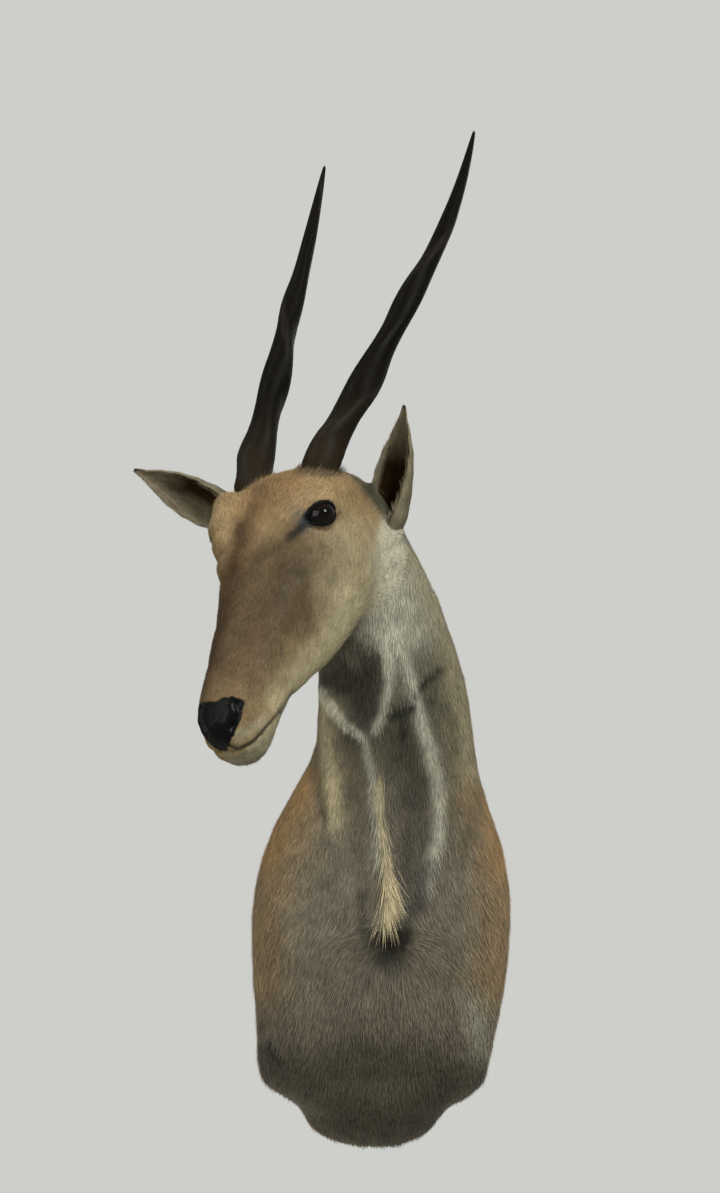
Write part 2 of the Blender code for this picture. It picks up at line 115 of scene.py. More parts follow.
class Rows:
    """Reads values between the rows of a table whose first column is a place."""

    def __init__(self, *rows: Sequence[float]) -> None:
        """Keeps the rows.

        Args:
            rows: Rows of equally many numbers, ordered by their first.
        """
        self.table = np.array(rows, float)

    def at(self, place: np.ndarray, column: int = 1) -> np.ndarray:
        """Reads a column at the given places.

        Args:
            place: Where to read.
            column: Which column to read.

        Returns:
            The values there.
        """
        return np.interp(place, self.table[:, 0], self.table[:, column])

    def eased(self, place: np.ndarray, column: int = 1) -> np.ndarray:
        """Reads a column along a smooth curve through the rows.

        Args:
            place: Where to read.
            column: Which column to read.

        Returns:
            The values there.
        """
        x, y = self.table[:, 0], self.table[:, column]
        slopes = np.gradient(y, x)
        k = np.clip(np.searchsorted(x, place, side="right") - 1, 0, len(x) - 2)
        step = x[k + 1] - x[k]
        t = (place - x[k]) / step
        low = (1 + 2 * t) * (1 - t) ** 2 * y[k] + t * (1 - t) ** 2 * step * slopes[k]
        return low + t * t * (3 - 2 * t) * y[k + 1] + t * t * (t - 1) * step * slopes[k + 1]


def smooth(values: np.ndarray, low: float, high: float) -> np.ndarray:
    """Rises smoothly from 0 at low to 1 at high.

    Args:
        values: What to measure.
        low: Where the rise starts.
        high: Where it ends; it may be below low.

    Returns:
        Shares from 0 to 1.
    """
    share = np.clip((values - low) / (high - low), 0, 1)
    return share * share * (3 - 2 * share)


def unit(vectors: np.ndarray) -> np.ndarray:
    """Scales vectors to length 1.

    Args:
        vectors: One vector in each row.

    Returns:
        The same directions with length 1.
    """
    return vectors / np.maximum(np.linalg.norm(vectors, axis=-1, keepdims=True), 1e-9)


def ripple(points: np.ndarray, size: float, seed: int, waves: int = 14) -> np.ndarray:
    """A soft uneven field made of a few crossing waves.

    Args:
        points: Where to measure it.
        size: The rough size of its swells.
        seed: Which field.
        waves: How many waves cross.

    Returns:
        Values of about -1 to 1.
    """
    random = np.random.default_rng(seed)
    leads = unit(random.normal(size=(waves, 3))) * random.uniform(0.6, 1.6, (waves, 1))
    starts = random.uniform(0, 2 * pi, waves)
    return np.sin(points @ leads.T * (2 * pi / size) + starts).sum(axis=1) * (1.4 / waves**0.5) / 2


def path_distance(points: np.ndarray, path: Sequence[Sequence[float]]) -> tuple[np.ndarray, np.ndarray]:
    """How far points are from a bent line, and how far along it they are.

    Args:
        points: Points with as many coordinates as the path's.
        path: The line's corners; one alone makes a spot.

    Returns:
        Distances, and shares of the line's length.
    """
    corners = np.array(path, float)
    if len(corners) == 1:
        return np.linalg.norm(points - corners[0], axis=1), np.zeros(len(points))
    lengths = np.linalg.norm(np.diff(corners, axis=0), axis=1)
    starts = np.concatenate([[0], np.cumsum(lengths)])
    best = np.full(len(points), np.inf)
    share = np.zeros(len(points))
    for index, length in enumerate(lengths):
        line = (corners[index + 1] - corners[index]) / length
        run = np.clip((points - corners[index]) @ line, 0, length)
        away = np.linalg.norm(points - corners[index] - run[:, None] * line, axis=1)
        nearer = away < best
        best[nearer] = away[nearer]
        share[nearer] = (starts[index] + run[nearer]) / starts[-1]
    return best, share


@dataclass(frozen=True)
class Viewer:
    """Where the viewer stands, level with the middle of the neck and square to the wall."""

    across: float = -0.0336
    away: float = 4.0
    height: float = 0.5336
    picture_height: float = 1.909
    sensor: float = 36.0

    def seen(self, points: np.ndarray) -> np.ndarray:
        """Where points seem to lie on the wall.

        Args:
            points: Points in space.

        Returns:
            Places across and up on the wall.
        """
        spread = self.away / (self.away + points[:, 1])
        x = self.across + (points[:, 0] - self.across) * spread
        z = self.height + (points[:, 2] - self.height) * spread
        return np.stack([x, z], axis=1)

    def facing(self, points: np.ndarray, normals: np.ndarray) -> np.ndarray:
        """How squarely a surface faces the viewer.

        Args:
            points: Points on it.
            normals: Its normals there.

        Returns:
            1 where it faces the viewer, 0 side on, -1 away.
        """
        eye = np.array((self.across, -self.away, self.height))
        return (normals * unit(eye - points)).sum(axis=1)

    def build_camera(self) -> bpy.types.Object:
        """Builds the camera and makes it the scene's.

        Returns:
            The camera.
        """
        lens = bpy.data.cameras.new("viewer")
        lens.sensor_fit = "VERTICAL"
        lens.sensor_height = self.sensor
        lens.lens = self.sensor * self.away / self.picture_height
        camera = bpy.data.objects.new("viewer", lens)
        camera.location = (self.across, -self.away, self.height)
        camera.rotation_euler = (radians(90), 0, 0)
        bpy.context.scene.collection.objects.link(camera)
        bpy.context.scene.camera = camera
        return camera


@dataclass(frozen=True)
class HeadPose:
    """The head's own frame: along the face from the poll, out to the right, and up off the brow."""

    poll: Spot = (-0.149, -0.430, 0.716)
    yaw: float = 22.0
    pitch: float = 48.0
    roll: float = 12.0

    def axes(self) -> np.ndarray:
        """The directions along, out and up.

        Returns:
            One direction in each row.
        """
        yaw, pitch, roll = radians(self.yaw), radians(self.pitch), radians(self.roll)
        heading = np.array((-sin(yaw), -cos(yaw), 0))
        level_right = np.array((cos(yaw), -sin(yaw), 0))
        rise = np.array((0, 0, 1))
        along = heading * cos(pitch) - rise * sin(pitch)
        level_up = heading * sin(pitch) + rise * cos(pitch)
        out = level_right * cos(roll) + level_up * sin(roll)
        up = level_up * cos(roll) - level_right * sin(roll)
        return np.stack([along, out, up])

    def inward(self, points: np.ndarray) -> np.ndarray:
        """Points as the head measures them.

        Args:
            points: Points in space.

        Returns:
            Their places along, out and up.
        """
        return (points - np.array(self.poll)) @ self.axes().T

    def outward(self, places: np.ndarray) -> np.ndarray:
        """Points in space.

        Args:
            places: Places along, out and up.

        Returns:
            The points.
        """
        return np.array(self.poll) + places @ self.axes()


VIEWER = Viewer()
HEAD = HeadPose()


def mesh_object(name: str, points: Sequence[Sequence[float]], faces: Sequence[Sequence[int]]) -> bpy.types.Object:
    """Links a new mesh object at the origin.

    Args:
        name: Its name.
        points: Its points.
        faces: Its faces, as indices of points.

    Returns:
        The object, shaded smooth.
    """
    mesh = bpy.data.meshes.new(name)
    mesh.from_pydata([tuple(map(float, point)) for point in points], [], [tuple(face) for face in faces])
    mesh.update()
    mesh.shade_smooth()
    made = bpy.data.objects.new(name, mesh)
    bpy.context.scene.collection.objects.link(made)
    return made


def settle(piece: bpy.types.Object) -> bpy.types.Object:
    """Makes what an object's modifiers give its own mesh, and removes them.

    Args:
        piece: An object with modifiers.

    Returns:
        The same object.
    """
    graph = bpy.context.evaluated_depsgraph_get()
    result = bpy.data.meshes.new_from_object(piece.evaluated_get(graph))
    piece.modifiers.clear()
    result.name = piece.name
    piece.data = result
    return piece


def close_up(piece: bpy.types.Object, gap: float = 1e-5) -> None:
    """Merges doubled points and turns the faces outwards.

    Args:
        piece: A closed mesh.
        gap: How near doubled points are.
    """
    shape = bmesh.new()
    shape.from_mesh(piece.data)
    bmesh.ops.remove_doubles(shape, verts=shape.verts, dist=gap)
    bmesh.ops.dissolve_degenerate(shape, edges=shape.edges, dist=gap / 10)
    bmesh.ops.recalc_face_normals(shape, faces=shape.faces)
    shape.to_mesh(piece.data)
    shape.free()


def read_points(piece: bpy.types.Object) -> np.ndarray:
    """The points of an object's mesh.

    Args:
        piece: A mesh object.

    Returns:
        One point in each row.
    """
    values = np.empty(len(piece.data.vertices) * 3)
    piece.data.vertices.foreach_get("co", values)
    return values.reshape(-1, 3)


def read_normals(piece: bpy.types.Object) -> np.ndarray:
    """The normals at the points of an object's mesh.

    Args:
        piece: A mesh object.

    Returns:
        One normal in each row.
    """
    values = np.empty(len(piece.data.vertices) * 3)
    piece.data.vertex_normals.foreach_get("vector", values)
    return values.reshape(-1, 3)


def write_points(piece: bpy.types.Object, points: np.ndarray) -> None:
    """Moves the points of an object's mesh.

    Args:
        piece: A mesh object.
        points: One point in each row.
    """
    piece.data.vertices.foreach_set("co", points.ravel())
    piece.data.update()


def keep(piece: bpy.types.Object, name: str, values: np.ndarray) -> None:
    """Stores values at an object's points, for its materials and hairs to read.

    Args:
        piece: A mesh object.
        name: What to call them.
        values: A number, or a vector or colour of three numbers, for each point.
    """
    if values.ndim == 1:
        layer = piece.data.attributes.new(name, "FLOAT", "POINT")
        layer.data.foreach_set("value", values.astype(np.float32))
    else:
        layer = piece.data.attributes.new(name, "FLOAT_VECTOR", "POINT")
        layer.data.foreach_set("vector", values.astype(np.float32).ravel())


def finish_piece(piece: bpy.types.Object, slot: str, *nodes: str) -> bpy.types.Object:
    """Lets a finished piece ride with the mount, in place of the given nodes.

    Args:
        piece: The piece.
        slot: The record's material slot that it belongs to; not used.
        nodes: The nodes that it stands for.

    Returns:
        The same piece.
    """
    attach(piece, "root")
    if nodes:
        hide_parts(*nodes)
    log.info("%s: %d points, %d faces", piece.name, len(piece.data.vertices), len(piece.data.polygons))
    return piece


class Wiring:
    """Adds nodes to a tree and joins them."""

    def __init__(self, tree: bpy.types.NodeTree) -> None:
        """Keeps the tree.

        Args:
            tree: A shader or geometry node tree.
        """
        self.tree = tree

    def put(self, socket: bpy.types.NodeSocket, value: object) -> None:
        """Joins a socket to another, or sets its value.

        Args:
            socket: An input.
            value: An output socket or a plain value.
        """
        if isinstance(value, bpy.types.NodeSocket):
            self.tree.links.new(value, socket)
        elif value is not None:
            socket.default_value = value

    def node(self, kind: str, inputs: dict[str | int, object] | None = None, **settings: object) -> bpy.types.Node:
        """Adds a node.

        Args:
            kind: Its type.
            inputs: What goes into its sockets, by name or place.
            settings: Its own settings.

        Returns:
            The node.
        """
        made = self.tree.nodes.new(kind)
        for key, value in settings.items():
            setattr(made, key, value)
        for key, value in (inputs or {}).items():
            self.put(made.inputs[key], value)
        return made

    def math(self, operation: str, *values: object) -> bpy.types.NodeSocket:
        """Adds a sum on numbers.

        Args:
            operation: Which.
            values: Its inputs.

        Returns:
            The result's socket.
        """
        return self.node("ShaderNodeMath", dict(enumerate(values)), operation=operation).outputs[0]

    def vector(self, operation: str, *values: object) -> bpy.types.NodeSocket:
        """Adds a sum on vectors.

        Args:
            operation: Which.
            values: Its inputs.

        Returns:
            The result's socket.
        """
        made = self.node("ShaderNodeVectorMath", operation=operation)
        for place, value in enumerate(values):
            self.put(made.inputs["Scale" if operation == "SCALE" and place == 1 else place], value)
        return made.outputs["Value" if operation in ("DOT_PRODUCT", "LENGTH", "DISTANCE") else 0]

    def noise(self, where: object, scale: object, detail: float = 2.0, roughness: float = 0.5) -> bpy.types.NodeSocket:
        """Adds a noise.

        Args:
            where: The place that it reads.
            scale: Its fineness.
            detail: How many finer layers it has.
            roughness: How strong these are.

        Returns:
            Its value's socket.
        """
        settings = {"Vector": where, "Scale": scale, "Detail": detail, "Roughness": roughness}
        return self.node("ShaderNodeTexNoise", settings).outputs["Fac"]

    def ramp(self, value: object, low: float, high: float, start: float = 0.0, end: float = 1.0) -> bpy.types.NodeSocket:
        """Adds a smooth rise.

        Args:
            value: What it reads.
            low: The value where the rise starts.
            high: The value where it ends.
            start: What it gives below.
            end: What it gives above.

        Returns:
            The result's socket.
        """
        inputs = {"Value": value, "From Min": low, "From Max": high, "To Min": start, "To Max": end}
        return self.node("ShaderNodeMapRange", inputs, interpolation_type="SMOOTHSTEP").outputs[0]

    def mix(self, share: object, first: object, second: object, blend: str = "MIX") -> bpy.types.NodeSocket:
        """Adds a mix of colours.

        Args:
            share: How much of the second.
            first: A colour.
            second: Another colour.
            blend: How they mix.

        Returns:
            The result's socket.
        """
        made = self.node("ShaderNodeMix", data_type="RGBA", blend_type=blend)
        colours = [(*value, 1) if isinstance(value, tuple) and len(value) == 3 else value for value in (first, second)]
        for socket, value in zip((made.inputs[0], made.inputs[6], made.inputs[7]), (share, *colours)):
            self.put(socket, value)
        return made.outputs[2]


class Finish:
    """A Principled material with its wiring at hand."""

    def __init__(self, name: str, roughness: float, specular: float = 0.5, metallic: float = 0.0) -> None:
        """Makes the material.

        Args:
            name: Its name.
            roughness: Its plain roughness.
            specular: Its specular level.
            metallic: 1 for metal.
        """
        self.material = bpy.data.materials.new(name)
        self.material.use_nodes = True
        self.wiring = Wiring(self.material.node_tree)
        self.shader = self.material.node_tree.nodes["Principled BSDF"]
        self.shader.inputs["Roughness"].default_value = roughness
        self.shader.inputs["Specular IOR Level"].default_value = specular
        self.shader.inputs["Metallic"].default_value = metallic

    def place(self) -> bpy.types.NodeSocket:
        """The place on the object."""
        return self.wiring.node("ShaderNodeTexCoord").outputs["Object"]

    def stored(self, name: str, output: str = "Fac") -> bpy.types.NodeSocket:
        """What keep() stored under a name."""
        return self.wiring.node("ShaderNodeAttribute", attribute_name=name).outputs[output]

    def colour(self, value: object) -> None:
        """Sets the base colour."""
        self.wiring.put(self.shader.inputs["Base Color"], value)

    def rough(self, value: object) -> None:
        """Sets the roughness."""
        self.wiring.put(self.shader.inputs["Roughness"], value)

    def bump(self, height: object, distance: float, strength: float = 1.0) -> None:
        """Raises the surface.

        Args:
            height: The height's socket, 0 to 1.
            distance: How high 1 is, in metres.
            strength: How much it counts.
        """
        inputs = {"Height": height, "Distance": distance, "Strength": strength}
        self.wiring.put(self.shader.inputs["Normal"], self.wiring.node("ShaderNodeBump", inputs).outputs[0])


def group_tree(name: str, kind: str, inputs: dict[str, tuple[str, object]], outputs: dict[str, str]) -> bpy.types.NodeTree:
    """Makes a node group with named sockets.

    Args:
        name: Its name.
        kind: ShaderNodeTree or GeometryNodeTree.
        inputs: Socket type and plain value by name.
        outputs: Socket type by name.

    Returns:
        The tree, with its input and output nodes.
    """
    tree = bpy.data.node_groups.new(name, kind)
    for label, (socket, value) in inputs.items():
        made = tree.interface.new_socket(label, in_out="INPUT", socket_type=socket)
        if value is not None:
            made.default_value = value
    for label, socket in outputs.items():
        tree.interface.new_socket(label, in_out="OUTPUT", socket_type=socket)
    tree.nodes.new("NodeGroupInput")
    tree.nodes.new("NodeGroupOutput")
    return tree


def grow(piece: bpy.types.Object, tree: bpy.types.NodeTree, values: dict[str, object]) -> bpy.types.Object:
    """Runs a geometry node tree on an object and keeps the result as its plain mesh.

    Args:
        piece: The object.
        tree: The tree.
        values: What goes into its inputs, by name.

    Returns:
        The same object.
    """
    modifier = piece.modifiers.new(tree.name, "NODES")
    modifier.node_group = tree
    sockets = {item.name: item.identifier for item in tree.interface.items_tree if item.in_out == "INPUT"}
    for label, value in values.items():
        modifier[sockets[label]] = value
    return settle(piece)


class HairTree:
    """Geometry nodes that grow short hairs on a skin, combed as the skin's stored directions say."""

    def __init__(self) -> None:
        """Builds the tree."""
        inputs = {
            "Geometry": ("NodeSocketGeometry", None),
            "Hair": ("NodeSocketObject", None),
            "Density name": ("NodeSocketString", ""),
            "Width": ("NodeSocketFloat", 0.0006),
            "Lift": ("NodeSocketFloat", 0.2),
            "Spread": ("NodeSocketFloat", 0.15),
            "Seed": ("NodeSocketInt", 0),
            "Material": ("NodeSocketMaterial", None),
        }
        self.tree = group_tree("hair", "GeometryNodeTree", inputs, {"Geometry": "NodeSocketGeometry"})
        wiring = Wiring(self.tree)
        given = self.tree.nodes["Group Input"].outputs
        read = "GeometryNodeInputNamedAttribute"
        density = wiring.node(read, {"Name": given["Density name"]}, data_type="FLOAT").outputs[0]
        scatter = wiring.node(
            "GeometryNodeDistributePointsOnFaces",
            {"Mesh": given["Geometry"], "Density": density, "Seed": given["Seed"]},
        )
        nap = wiring.node(read, {"Name": "nap"}, data_type="FLOAT_VECTOR").outputs[0]
        length = wiring.node(read, {"Name": "hair_length"}, data_type="FLOAT").outputs[0]
        normal = scatter.outputs["Normal"]
        stray = wiring.node("FunctionNodeRandomValue", {"Seed": given["Seed"]}, data_type="FLOAT_VECTOR")
        stray.inputs[0].default_value = (-1, -1, -1)
        stray.inputs[1].default_value = (1, 1, 1)
        lean = wiring.vector("ADD", nap, wiring.vector("SCALE", normal, given["Lift"]))
        lean = wiring.vector("ADD", lean, wiring.vector("SCALE", stray.outputs[0], given["Spread"]))
        turn = wiring.node(
            "FunctionNodeAxesToRotation",
            {"Primary Axis": lean, "Secondary Axis": normal},
            primary_axis="Z",
            secondary_axis="Y",
        )
        chance = wiring.node("FunctionNodeRandomValue", {"Seed": given["Seed"], "ID": None}, data_type="FLOAT")
        tone = chance.outputs[1]
        long = wiring.math("MULTIPLY", length, wiring.math("MULTIPLY_ADD", tone, 0.6, 0.7))
        size = wiring.node("ShaderNodeCombineXYZ", {0: given["Width"], 1: long, 2: long}).outputs[0]
        blade = wiring.node("GeometryNodeObjectInfo", {"Object": given["Hair"], "As Instance": True})
        planted = wiring.node(
            "GeometryNodeInstanceOnPoints",
            {
                "Points": scatter.outputs["Points"],
                "Instance": blade.outputs["Geometry"],
                "Rotation": turn.outputs[0],
                "Scale": size,
            },
        )
        marked = wiring.node(
            "GeometryNodeStoreNamedAttribute",
            {"Geometry": planted.outputs[0], "Name": "tone", "Value": tone},
            data_type="FLOAT",
            domain="INSTANCE",
        )
        real = wiring.node("GeometryNodeRealizeInstances", {"Geometry": marked.outputs[0]})
        dressed = wiring.node(
            "GeometryNodeSetMaterial", {"Geometry": real.outputs[0], "Material": given["Material"]}
        )
        wiring.put(self.tree.nodes["Group Output"].inputs[0], dressed.outputs[0])


@dataclass(frozen=True)
class HairCut:
    """One kind of hair: its width, how it stands off the skin and how it strays, and its bend."""

    width: float
    lift: float
    spread: float
    bend: float = 0.10
    steps: int = 2

    def blade(self) -> bpy.types.Object:
        """Builds the hair that the tree repeats: a narrow leaf, 1 long and 1 wide.

        Returns:
            The leaf, which the caller removes.
        """
        points, faces, shares = [], [], []
        for step in range(self.steps):
            t = step / self.steps
            half = 0.5 * (1 - t**2)
            points += [(-half, -self.bend * t * t, t), (half, -self.bend * t * t, t)]
            shares += [t, t]
        points.append((0, -self.bend, 1))
        shares.append(1)
        for step in range(self.steps - 1):
            first = 2 * step
            faces.append((first, first + 1, first + 3, first + 2))
        last = 2 * (self.steps - 1)
        faces.append((last, last + 1, last + 2))
        made = mesh_object("hair", points, faces)
        keep(made, "strand", np.array(shares))
        return made


class Barber:
    """Grows hairs on skins."""

    def __init__(self) -> None:
        """Builds the tree that all hairs share."""
        self.tree = HairTree().tree

    def grow_on(
        self, skin: bpy.types.Object, name: str, cut: HairCut, density: str, seed: int, material: bpy.types.Material
    ) -> bpy.types.Object:
        """Grows one piece of hair on a skin.

        Args:
            skin: The mesh that carries the directions, lengths and densities.
            name: The piece's name.
            cut: The kind of hair.
            density: The name of the stored density.
            seed: The seed of its randomness.
            material: The hair's material.

        Returns:
            The piece.
        """
        blade = cut.blade()
        piece = bpy.data.objects.new(name, skin.data.copy())
        bpy.context.scene.collection.objects.link(piece)
        values = {
            "Hair": blade,
            "Density name": density,
            "Width": cut.width,
            "Lift": cut.lift,
            "Spread": cut.spread,
            "Seed": seed,
            "Material": material,
        }
        grow(piece, self.tree, values)
        bpy.data.objects.remove(blade)
        points = read_points(piece)
        points[:, 1] = np.minimum(points[:, 1], -0.0005)
        write_points(piece, points)
        piece.data.shade_smooth()
        return piece


def coat_group() -> bpy.types.NodeTree:
    """Builds the shader group that the skin and the hairs share, so that their colours agree.

    Returns:
        The group: it mottles a stored colour at the scale of tufts and of single streaks.
    """
    inputs = {
        "Coat": ("NodeSocketColor", (0.3, 0.25, 0.15, 1)),
        "Place": ("NodeSocketVector", None),
        "Mottle": ("NodeSocketFloat", 0.3),
    }
    tree = group_tree("coat mottle", "ShaderNodeTree", inputs, {"Color": "NodeSocketColor"})
    wiring = Wiring(tree)
    given = tree.nodes["Group Input"].outputs
    patches = wiring.noise(given["Place"], 34.0, 4.0, 0.62)
    stretched = wiring.node("ShaderNodeMapping", {"Vector": given["Place"], "Scale": (1.0, 1.0, 0.35)}).outputs[0]
    streaks = wiring.noise(stretched, 210.0, 3.0, 0.6)
    both = wiring.math("ADD", wiring.math("MULTIPLY", patches, 0.9), wiring.math("MULTIPLY", streaks, 0.9))
    swing = wiring.math("MULTIPLY", wiring.math("SUBTRACT", both, 0.9), given["Mottle"])
    gain = wiring.math("MULTIPLY_ADD", swing, 2.2, 1.0)
    tinted = wiring.vector("SCALE", given["Coat"], gain)
    wiring.put(tree.nodes["Group Output"].inputs[0], tinted)
    return tree


class Coats:
    """The materials of hide, hair, ears and bare skin."""

    def __init__(self) -> None:
        """Builds them all."""
        self.group = coat_group()
        self.skin = self.build_skin()
        self.hair = self.build_hair("hair", 0.62, 0.45)
        self.mane = self.build_hair("long pale hair", 0.5, 0.2)

    def mottled(self, finish: Finish, amount: float) -> bpy.types.NodeSocket:
        """The stored coat colour, mottled.

        Args:
            finish: The material that takes it.
            amount: How strongly it is mottled.

        Returns:
            The colour's socket.
        """
        made = finish.wiring.node("ShaderNodeGroup", node_tree=self.group)
        finish.wiring.put(made.inputs["Coat"], finish.stored("coat", "Vector"))
        finish.wiring.put(made.inputs["Place"], finish.place())
        made.inputs["Mottle"].default_value = amount
        return made.outputs[0]

    def build_skin(self) -> bpy.types.Material:
        """The hide under the hairs, with the wet-looking leather of nose and lids.

        Returns:
            The material.
        """
        finish = Finish("hide", 0.85, 0.06)
        wiring = finish.wiring
        # Darkened as painted shade: the skin lies under the fur.
        coat = wiring.mix(1.0, self.mottled(finish, 0.5), (0.72, 0.70, 0.68), "MULTIPLY")
        bare = finish.stored("bare")
        pebbles = wiring.node("ShaderNodeTexVoronoi", {"Vector": finish.place(), "Scale": 520.0}).outputs["Distance"]
        leather = wiring.mix(wiring.ramp(pebbles, 0.1, 0.7), shade(2, 3, 2), shade(15, 18, 15))
        finish.colour(wiring.mix(bare, coat, leather))
        finish.rough(wiring.ramp(bare, 0.2, 0.9, 0.85, 0.38))
        wiring.put(finish.shader.inputs["Coat Weight"], wiring.math("MULTIPLY", bare, 0.08))
        finish.shader.inputs["Coat Roughness"].default_value = 0.20
        fibres = wiring.noise(finish.place(), 900.0, 2.0)
        height = wiring.mix(bare, fibres, pebbles)
        finish.bump(height, 0.0006, 0.6)
        return finish.material

    def build_hair(self, name: str, roughness: float, mottle: float) -> bpy.types.Material:
        """The hairs: darker at the root as painted shade, and no two quite alike.

        Args:
            name: The material's name.
            roughness: Its roughness.
            mottle: How strongly it is mottled.

        Returns:
            The material.
        """
        finish = Finish(name, roughness, 0.3)
        wiring = finish.wiring
        coat = self.mottled(finish, mottle)
        # Darker at the root as painted shade among the hairs, lighter towards the tip.
        root = wiring.ramp(finish.stored("strand"), 0.0, 0.8, 0.62, 1.12)
        own = wiring.ramp(finish.stored("tone"), 0.0, 1.0, 0.72, 1.30)
        finish.colour(wiring.vector("SCALE", coat, wiring.math("MULTIPLY", root, own)))
        return finish.material


@dataclass(frozen=True)
class Mark:
    """A colour laid on the hide along a line or round a spot, as places on the wall seen from the front."""

    tone: Tone
    strength: float
    reach: float
    path: tuple[Place, ...]
    hard: float = 2.0
    front_only: bool = True


@dataclass(frozen=True)
class Fold:
    """A raised or sunken line of the neck and chest, as places on the wall seen from the front."""

    height: float
    width: float
    path: tuple[Place, ...]


@dataclass(frozen=True)
class Feature:
    """A raised or sunken line of the face, by places along, out and up in the head's frame."""

    height: float
    width: float
    path: tuple[Spot, ...]


# The coat is painted from the first of these to the last.
FACE_MARKS = (
    Mark(Tone.RUST, 0.75, 0.040, ((-0.155, 0.715), (-0.190, 0.672), (-0.225, 0.610))),
    Mark(Tone.BLOND, 0.75, 0.030, ((-0.262, 0.660), (-0.245, 0.625), (-0.236, 0.590))),
    Mark(Tone.BLOND, 0.70, 0.030, ((-0.120, 0.690), (-0.165, 0.650), (-0.200, 0.610))),
    Mark(Tone.SNOUT, 0.85, 0.050, ((-0.225, 0.580), (-0.245, 0.480), (-0.262, 0.390))),
    Mark(Tone.SNOUT_DARK, 0.40, 0.050, ((-0.190, 0.480), (-0.210, 0.400))),
    Mark(Tone.CHEEK, 0.85, 0.060, ((-0.110, 0.600), (-0.150, 0.540), (-0.190, 0.450))),
    Mark(Tone.CHEEK_DARK, 0.62, 0.036, ((-0.140, 0.590), (-0.155, 0.560), (-0.180, 0.510))),
    Mark(Tone.CHEEK_DARK, 0.45, 0.030, ((-0.120, 0.560), (-0.125, 0.500))),
    Mark(Tone.CHEEK, 0.55, 0.040, ((-0.085, 0.570), (-0.100, 0.520))),
    Mark(Tone.RUST, 0.30, 0.018, ((-0.150, 0.700), (-0.195, 0.650), (-0.232, 0.590)), 3.0),
    Mark(Tone.SNOUT_DARK, 0.85, 0.016, ((-0.222, 0.640), (-0.232, 0.590), (-0.268, 0.450), (-0.290, 0.385))),
    Mark(Tone.SNOUT_DARK, 0.45, 0.010, ((-0.190, 0.700), (-0.200, 0.680), (-0.230, 0.633), (-0.238, 0.582))),
    Mark(Tone.MUZZLE, 0.70, 0.022, ((-0.250, 0.372), (-0.232, 0.384))),
    Mark(Tone.SNOUT, 0.80, 0.036, ((-0.215, 0.420), (-0.190, 0.470))),
    Mark(Tone.OLIVE, 0.95, 0.037, ((-0.050, 0.520), (-0.070, 0.465), (-0.110, 0.410), (-0.150, 0.360))),
    Mark(Tone.OLIVE, 0.55, 0.045, ((-0.050, 0.620), (-0.055, 0.540))),
    Mark(Tone.PALE_GREY, 0.90, 0.030, ((0.036, 0.660), (0.014, 0.600), (0.014, 0.530), (0.012, 0.470)), 3.0),
    Mark(Tone.CHEEK_DARK, 0.55, 0.012, ((-0.140, 0.632), (-0.175, 0.606), (-0.200, 0.590))),
    Mark(Tone.LIP_WHITE, 0.95, 0.011, ((-0.232, 0.309), (-0.210, 0.318), (-0.188, 0.331))),
    Mark(Tone.LIP_LOWER, 0.95, 0.018, ((-0.232, 0.272), (-0.200, 0.280), (-0.165, 0.312), (-0.148, 0.345)), 4.0),
    # Painted shade along the crease of the mouth, on its sunken line.
    Mark(Tone.STAIN, 0.80, 0.0026, ((-0.248, 0.298), (-0.230, 0.291), (-0.205, 0.301), (-0.184, 0.325), (-0.162, 0.349))),
    # Painted shade at the corner of the mouth, on its sunken line.
    Mark(Tone.CHEEK_DARK, 0.60, 0.004, ((-0.162, 0.349), (-0.144, 0.378))),
    Mark(Tone.LID_GREY, 0.75, 0.010, ((-0.132, 0.666), (-0.126, 0.646))),
    Mark(Tone.LID, 0.85, 0.007, ((-0.146, 0.632), (-0.132, 0.640), (-0.118, 0.650))),
    Mark(Tone.LEATHER, 0.90, 0.005, ((-0.124, 0.652), (-0.116, 0.656))),
    # Painted shade at the eye's rear corner.
    Mark(Tone.LEATHER, 0.60, 0.004, ((-0.070, 0.664), (-0.067, 0.666))),
    Mark(Tone.BLOND, 0.70, 0.006, ((-0.112, 0.684), (-0.092, 0.698), (-0.068, 0.690), (-0.052, 0.674))),
)
